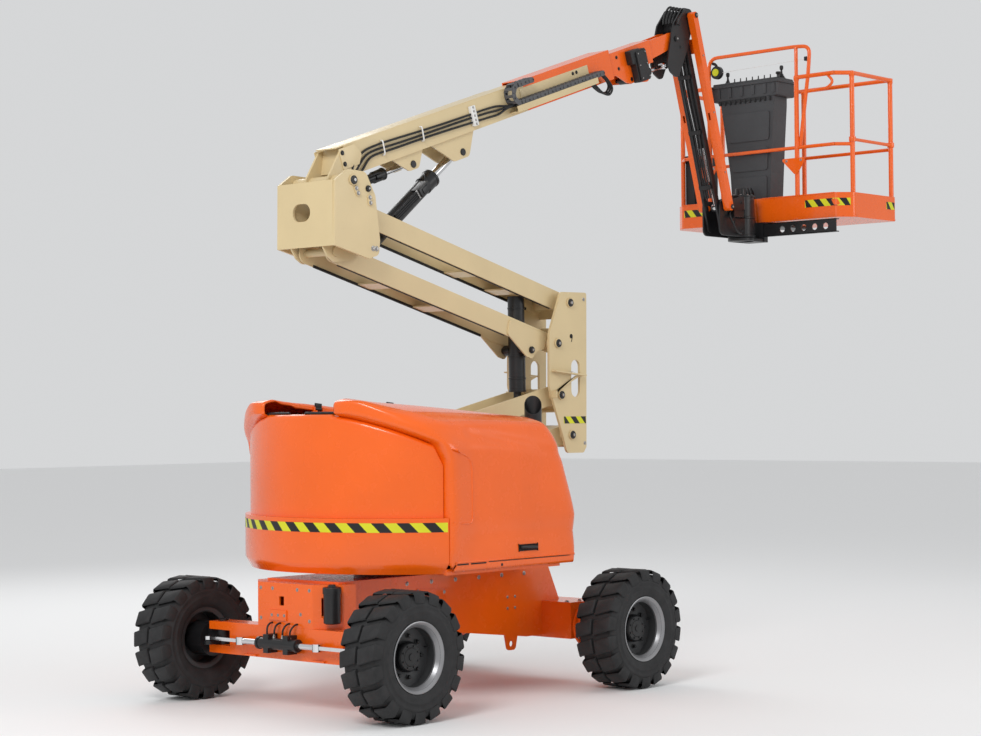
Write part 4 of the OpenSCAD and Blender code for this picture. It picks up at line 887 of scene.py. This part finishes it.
for fn, s0, s1, lean in ((toe_corner, -275, 148, -50), (toe_end(FRONT_X, -1), 560, 764, 50),
                         (flank(BASKET_HALF, -1), BACK_X - 150, BACK_X - 22, -50),
                         (flank(BASKET_HALF, 1), BACK_X - 150, BACK_X - 22, -50),
                         (toe_end(BACK_X, 1), -850, -560, -50), (toe_end(BACK_X, 1), 560, 850, -50)):
    stripes("basket", fn, s0, s1, 3640, 3702, 122, lean)
for y0, y1 in ((-780, -60), (60, 790)):
    K.box("basket", "orange", (FRONT_X - 4, y0, 3744), (FRONT_X + 8, y1, 3752), P, 2)
for i in range(9):
    x = FRONT_X + 40 + 80 * i
    K.box("basket", "orange", (x, -840, FLOOR_Z), (x + 6, 840, FLOOR_Z + 3), P, 1)


# Basket support: post and plate of the rotator, riser, beam with five holes, pan under the floor
def perforated(x0, x1, y0, y1, z0, z1, holes, mat):
    """Plate across the machine with round holes, given by their middles and radius."""
    (middles, z, r), seg = holes, 24
    b = bmesh.new()
    for x in (x0, x1):
        edge = [b.verts.new(P(x, y, z)) for y, z in ((y0, z0), (y1, z0), (y1, z1), (y0, z1))]
        edges = [b.edges.new((edge[k], edge[k - 1])) for k in range(4)]
        for y in middles:
            hole = [b.verts.new(P(x, y + r * c, z + r * s)) for c, s in ring(seg)]
            edges += [b.edges.new((hole[k], hole[k - 1])) for k in range(seg)]
        bmesh.ops.triangle_fill(b, edges=edges, use_beauty=True)
    b.verts.ensure_lookup_table()
    half = len(b.verts) // 2
    loops = [(0, 4)] + [(4 + seg * k, 4 + seg * (k + 1)) for k in range(len(middles))]
    for first, end in loops:
        for k in range(first, end):
            n = k + 1 if k + 1 < end else first
            b.faces.new((b.verts[k], b.verts[n], b.verts[half + n], b.verts[half + k]))
    b.verts.index_update()
    faces = [[v.index for v in f.verts] for f in b.faces]
    K.add("basket", mat, [v.co.copy() for v in b.verts], faces)
    b.free()


def support_frame():
    m, foot, front = "black:support", 3374.8, FRONT_X - 46
    post = [(0, 0), (104, 0), (110, 5), (110, 24), (105, 27.5), (45, 27.5), (45, 440), (40, 444), (0, 444)]
    K.lathe("basket", m, P(ROTATOR_X, 0, foot), UP, post, 56)
    K.box("basket", m, (ROTATOR_X, -100, foot), (FRONT_X + 20, 100, 3402), P, 4)
    K.box("basket", m, (front, -110, 3376), (FRONT_X + 6, 110, 3543), P, 6)
    K.box("basket", m, (FRONT_X + 2, -100, 3522), (BACK_X - 80, 100, 3544), P, 4)
    y0, y1, z0, z1 = -820, -100, 3420, 3530
    holes = [-290 - 107 * k for k in range(5)], 3472, 27
    perforated(front, FRONT_X - 34, y0, y1, z0, z1, holes, m)
    for z in (z0, z1 - 8):
        K.box("basket", m, (front, y0, z), (FRONT_X + 4, y1, z + 8), P, 2)
    own("support.frame", "basket", m, ["basket_support"])


# Console: case, pedestal with three panels, levers, switches and the stop button
def console():
    x, z, m = FRONT_X + 60, RAIL_Z + 56, "plastic:console"
    K.box("basket", m, (x - 4, -190, z - 176), (x + 262, 500, z - 44), P, 26, 4)
    K.box("basket", m, (x - 14, -202, z - 62), (x + 272, 512, z - 40), P, 9, 3)
    K.box("basket", m, (x + 4, -180, z - 52), (x + 250, 490, z - 18), P, 14, 3)
    for y in (-150, -60, 60, 180, 300, 420):
        K.box("basket", m, (x - 12, y - 16, z - 150), (x + 2, y + 16, z - 66), P, 6)
    pedestal = rounded([(-150, z - 170), (410, z - 170), (398, z - 250), (350, z - 560), (312, z - 820),
                        (290, FLOOR_Z + 1), (-92, FLOOR_Z + 1), (-108, z - 820), (-124, z - 560),
                        (-146, z - 250)], [10, 10, 40, 30, 40, 14, 14, 40, 30, 40])
    K.prism("basket", m, pedestal, x + 4, x + 196, crosswise, 16)
    for panel, r in (([(-104, z - 300), (366, z - 300), (328, z - 545), (-94, z - 545)], 24),
                     ([(-84, z - 600), (316, z - 600), (286, z - 800), (-76, z - 800)], 24),
                     ([(-70, z - 850), (278, z - 850), (266, FLOOR_Z + 70), (-64, FLOOR_Z + 70)], 20)):
        K.prism("basket", m, rounded(panel, r), x - 5, x + 8, crosswise, 4)
    K.box("basket", "dark", (x - 2, -60, z - 196), (x + 30, 430, z - 172), P, 4)
    for y in range(-120, 401, 52):
        K.box("basket", "black", (x - 6, y, z - 212), (x + 10, y + 20, z - 178), P, 3)
    lever = [(36, 0), (34, 6), (24, 16), (26, 20), (16, 30), (18, 34), (10, 44), (8, 74), (15, 80),
             (17, 100), (12, 112), (0, 114)]
    switch = [(15, 0), (15, 4), (9, 7), (6, 9), (4.5, 30), (5.5, 34), (0, 36)]
    knob = [(13, 0), (13, 5), (10, 8), (10, 18), (8, 20), (0, 20)]
    stop = [(13, 0), (13, 26), (20, 30), (22, 40), (18, 48), (0, 50)]
    for y in (-140, 420):
        K.lathe("basket", "dark", P(x + 130, y, z - 19), UP, lever, 24)
    for y in range(-84, 351, 62):
        K.lathe("basket", "black", P(x + 46, y, z - 19), UP, switch, 16)
        K.lathe("basket", "dark", P(x + 200, y, z - 19), UP, knob, 16)
    K.lathe("basket", "black", P(x + 40, -168, z - 20), UP, stop, 24)
    own("console.shell", "basket", m, ["console"])


support_frame()
console()
own("carrier.links", "boom", "carrier:links", ["cable_carrier"])
own("hoop.tube", "basket", "orange:hoop", ["hoop_frame"])
for i in range(3):
    hose("basket", P, 8, (FRONT_X + 40, 60 + 30 * i, 3800 - 30 * i), (FRONT_X - 10, 50 + 30 * i, 3840),
         (FRONT_X - 24, 30 + 26 * i, 3760), (FRONT_X - 26, 10 + 26 * i, 3600),
         (FRONT_X - 20, 24 * i, 3490))
# Face and lid of the manual box
K.box("basket", "dark", (FRONT_X + 142, 756, FLOOR_Z + 190),
      (FRONT_X + 488, 764, FLOOR_Z + 632), P, 3)
K.box("basket", "dark", (FRONT_X + 144, 752, FLOOR_Z + 600),
      (FRONT_X + 486, 868, FLOOR_Z + 646), P, 6)


# Hoods: beads, slots drawn as painted shade, a latch recess of painted shade, latch and lock; black tube
# along the tail cover's top
def hood_dress(body, side):
    def on(points):
        return [P(x, side * (hood_y(x, z) - 1), z) for x, z in points]

    bead = on([(-700, 1735), (-640, 1720), (-560, 1692), (-490, 1664), (-456, 1636), (-441, 1596),
               (-441, 1520), (-441, 1430), (-442, 1340), (-444, 1262), (-456, 1236), (-486, 1228),
               (-560, 1232), (-640, 1240)])
    K.tube(body, "orange", bead, 5.5, sub=3)
    K.tube(body, "orange", on([(-612 + 100 * i, 976) for i in range(13)]), 6, sub=2)
    # Slots: thin near-black tubes along the lip, painted shade of the openings
    K.tube(body, "inside", on([(-290 + 98 * i, 966) for i in range(10)]), 3, 8, 2)
    for x0, x1 in ((-597, -490), (-465, -319)):
        K.tube(body, "inside", on([(x0 + (x1 - x0) * i / 4, 962) for i in range(5)]), 5, 8, 2)
    y = hood_y(104, 1040)
    # Latch recess: a near-black box behind the latch, painted shade
    K.box(body, "inside", (8, side * (y - 10), 1020), (200, side * (y + 3), 1064), P, 5, 3)
    latch = run(P, (24, side * (y + 4), 1046), (48, side * (y + 11), 1046), (120, side * (y + 13), 1044),
                (186, side * (y + 8), 1040))
    K.tube(body, "black", latch, 11)
    K.lathe(body, "black", P(-160, side * 975.5, 940), across(side),
            [(10, 0), (10, 3), (6, 6), (0, 6)], 16)


hood_dress("hood_near", -1)
hood_dress("hood_far", 1)
# Black tube along the tail cover's top edge, on both halves
TOP_STRIP_R = 1098
top_strip = []
for t in np.radians(np.linspace(4, 47, 24)):
    x, y = -TOP_STRIP_R * math.cos(t), TOP_STRIP_R * math.sin(t)
    top_strip.append(P(x, y, tail_top(y) + 7))
K.tube("turntable", "hose", top_strip, 10, sub=3)
mirrored = [P((v.x + SLEW_BACK) * 1000, -v.y * 1000, v.z * 1000) for v in top_strip]
K.tube("turntable", "hose", mirrored, 10, sub=3)


# Exhaust stack
def stack():
    """Pipe with its mouth cut on a slant, and a band."""
    (x, y), mat = (735, -484), "black:stack"
    r, wall, mouth, foot, seg = 62.0, 4.0, 2003.0, 909.0, 48
    inner = r - wall
    verts, faces = [], []
    for c, s in ring(seg):
        slant = (0.741 * c + 0.671 * s) * 1.12
        for q, z in ((r, foot), (r, mouth + r * slant), (inner, mouth + inner * slant), (inner, foot + 500)):
            verts.append(P(x + q * c, y + q * s, z))
    for i in range(seg):
        j = (i + 1) % seg
        faces += [(i * 4 + m, j * 4 + m, j * 4 + m + 1, i * 4 + m + 1) for m in range(3)]
    faces.append([i * 4 + 3 for i in range(seg)])
    faces.append([i * 4 for i in range(seg)])
    K.add("turntable", mat, verts, faces)
    K.lathe("turntable", mat, P(x, y, 1500), UP, [(62, 0), (64, 2), (64, 16), (62, 18)], 48)
    own("stack.pipe", "turntable", mat, ["exhaust_stack"])


stack()

# Chassis: bolts, side plates, axle flanges, nose plate with its lines, canister cap, slewing bolts
FRAME_Y = 345
for side in SIDES:
    n, y = across(side), side * FRAME_Y
    K.bolts("chassis", [P(x, y, 800) for x in (-420, -180, 60, 300, 540, 780)], n, 10)
    K.bolts("chassis", [P(x, y, z) for z in (560, 640) for x in (600, 680)], n, 7)
    plate = rounded([(-340, 640), (-40, 610), (-40, 740), (-340, 760)], 24)
    K.prism("chassis", "orange", plate, y, side * 351, P, 1.5)
    held = ((-320, 660), (-60, 632), (-60, 722), (-320, 742))
    K.bolts("chassis", [P(x, side * 351, z) for x, z in held], n, 8)
    K.bolts("chassis", [P(x, side * 560, 590) for x in (1000, 1140, 1280)], UP, 12)
    K.lathe("chassis", "orange", P(WHEEL_X, side * 622, WHEEL_R), n,
            [(130, 0), (158, 2), (158, 22), (132, 26)], 48)
    flange = [P(WHEEL_X + 146 * c, side * 644, WHEEL_R + 146 * s) for c, s in ring(10)]
    K.bolts("chassis", flange, n, 8, "zinc", False)
nose = ((-235, 600), (235, 600), (-235, 800), (235, 800), (-120, 800), (120, 800), (-150, 640))
K.bolts("chassis", [P(-1218, y, z) for y, z in nose], FRONT, 8)
K.box("chassis", "orange", (-1226, -20, 590), (-1216, 150, 660), P, 3)
K.bolts("chassis", [P(-1226, y, 625) for y in (0, 60, 120)], FRONT, 7)
STEER_X = -1278
for y in (-110, -40, 40, 110):
    K.lathe("chassis", "zinc", P(STEER_X, y, 478), UP, [(11, 0), (11, 14), (8, 16), (8, 26), (0, 26)], 6)
    hose("chassis", P, 6.5, (STEER_X, y, 500), (-1276, y * 1.02, 530), (-1262, y * 1.08, 556),
         (-1236, y * 1.1, 572), (-1212, y * 1.1, 574))
for side in SIDES:
    K.lathe("chassis", "black", P(STEER_X, side * 170, 442), across(side),
            [(38, 0), (43, 2), (43, 20), (36, 24), (21, 24)], 36)
for y in (-330, 330):
    K.box("chassis", "orange", (-1240, y - 60, 340), (-1210, y + 60, 352), P, 3)
K.lathe("chassis", "black", P(-1176, -405, 822), UP,
        [(61, 0), (58, 5), (26, 7), (24, 20), (18, 24), (0, 24)], 40)
K.bolts("chassis", [P(400 * c, 400 * s, 894.8) for c, s in ring(36)], UP, 9, "zinc", False)

# Camera
CAMERA_AT = (-10875, -10581, 1935)
CAMERA_RIGHT = Vector((0.67094, -0.74146, -0.00861))
CAMERA_UP = Vector((-0.01041, -0.02104, 0.99972))
CAMERA_AHEAD = Vector((0.74144, 0.67067, 0.02183))
scene = bpy.context.scene
lens = bpy.data.cameras.new("camera")
lens.lens, lens.sensor_width, lens.sensor_fit = 79.19, 36.0, "HORIZONTAL"
lens.clip_end = 200
camera = bpy.data.objects.new("camera", lens)
scene.collection.objects.link(camera)
turn = Matrix((CAMERA_RIGHT, CAMERA_UP, -CAMERA_AHEAD)).transposed()
camera.matrix_world = Matrix.Translation(P(*CAMERA_AT)) @ turn.to_4x4()
scene.camera = camera

# Floor
FLOOR_HALF = 60
floor_look, _, shader = nodes_of("floor")
put(shader, {"Base Color": (0.86, 0.86, 0.86, 1), "Roughness": 0.85})
floor_mesh = bpy.data.meshes.new("floor")
corners = [(FLOOR_HALF * i, FLOOR_HALF * j, 0) for i, j in ((-1, -1), (1, -1), (1, 1), (-1, 1))]
floor_mesh.from_pydata(corners, [], [(0, 1, 2, 3)])
floor = bpy.data.objects.new("floor", floor_mesh)
floor_mesh.materials.append(floor_look)
scene.collection.objects.link(floor)
floor.location.z = -0.001

# Light
world = bpy.data.worlds.new("studio")
scene.world = world
world.use_nodes = True
put(world.node_tree.nodes["Background"], {"Color": (0.93, 0.94, 0.95, 1), "Strength": 0.72})


def area(name, at, target, size, power):
    """Round lamp that faces a target."""
    d = bpy.data.lights.new(name, "AREA")
    d.shape, d.size, d.energy, d.color = "DISK", size, power, (1, 1, 1)
    o = bpy.data.objects.new(name, d)
    scene.collection.objects.link(o)
    o.location = at
    o.rotation_euler = (Vector(target) - Vector(at)).to_track_quat("-Z", "Y").to_euler()


area("key", (-11.0, -4.5, 8.5), (-1.0, 0, 2.2), 4.5, 640)
area("side", (5.0, -11.0, 6.0), (0.0, 0, 2.2), 5.0, 190)
area("rim_light", (2.0, 9.0, 8.0), (0.0, 0, 2.5), 6.0, 260)
scene.view_settings.view_transform = "Standard"

K.emit()
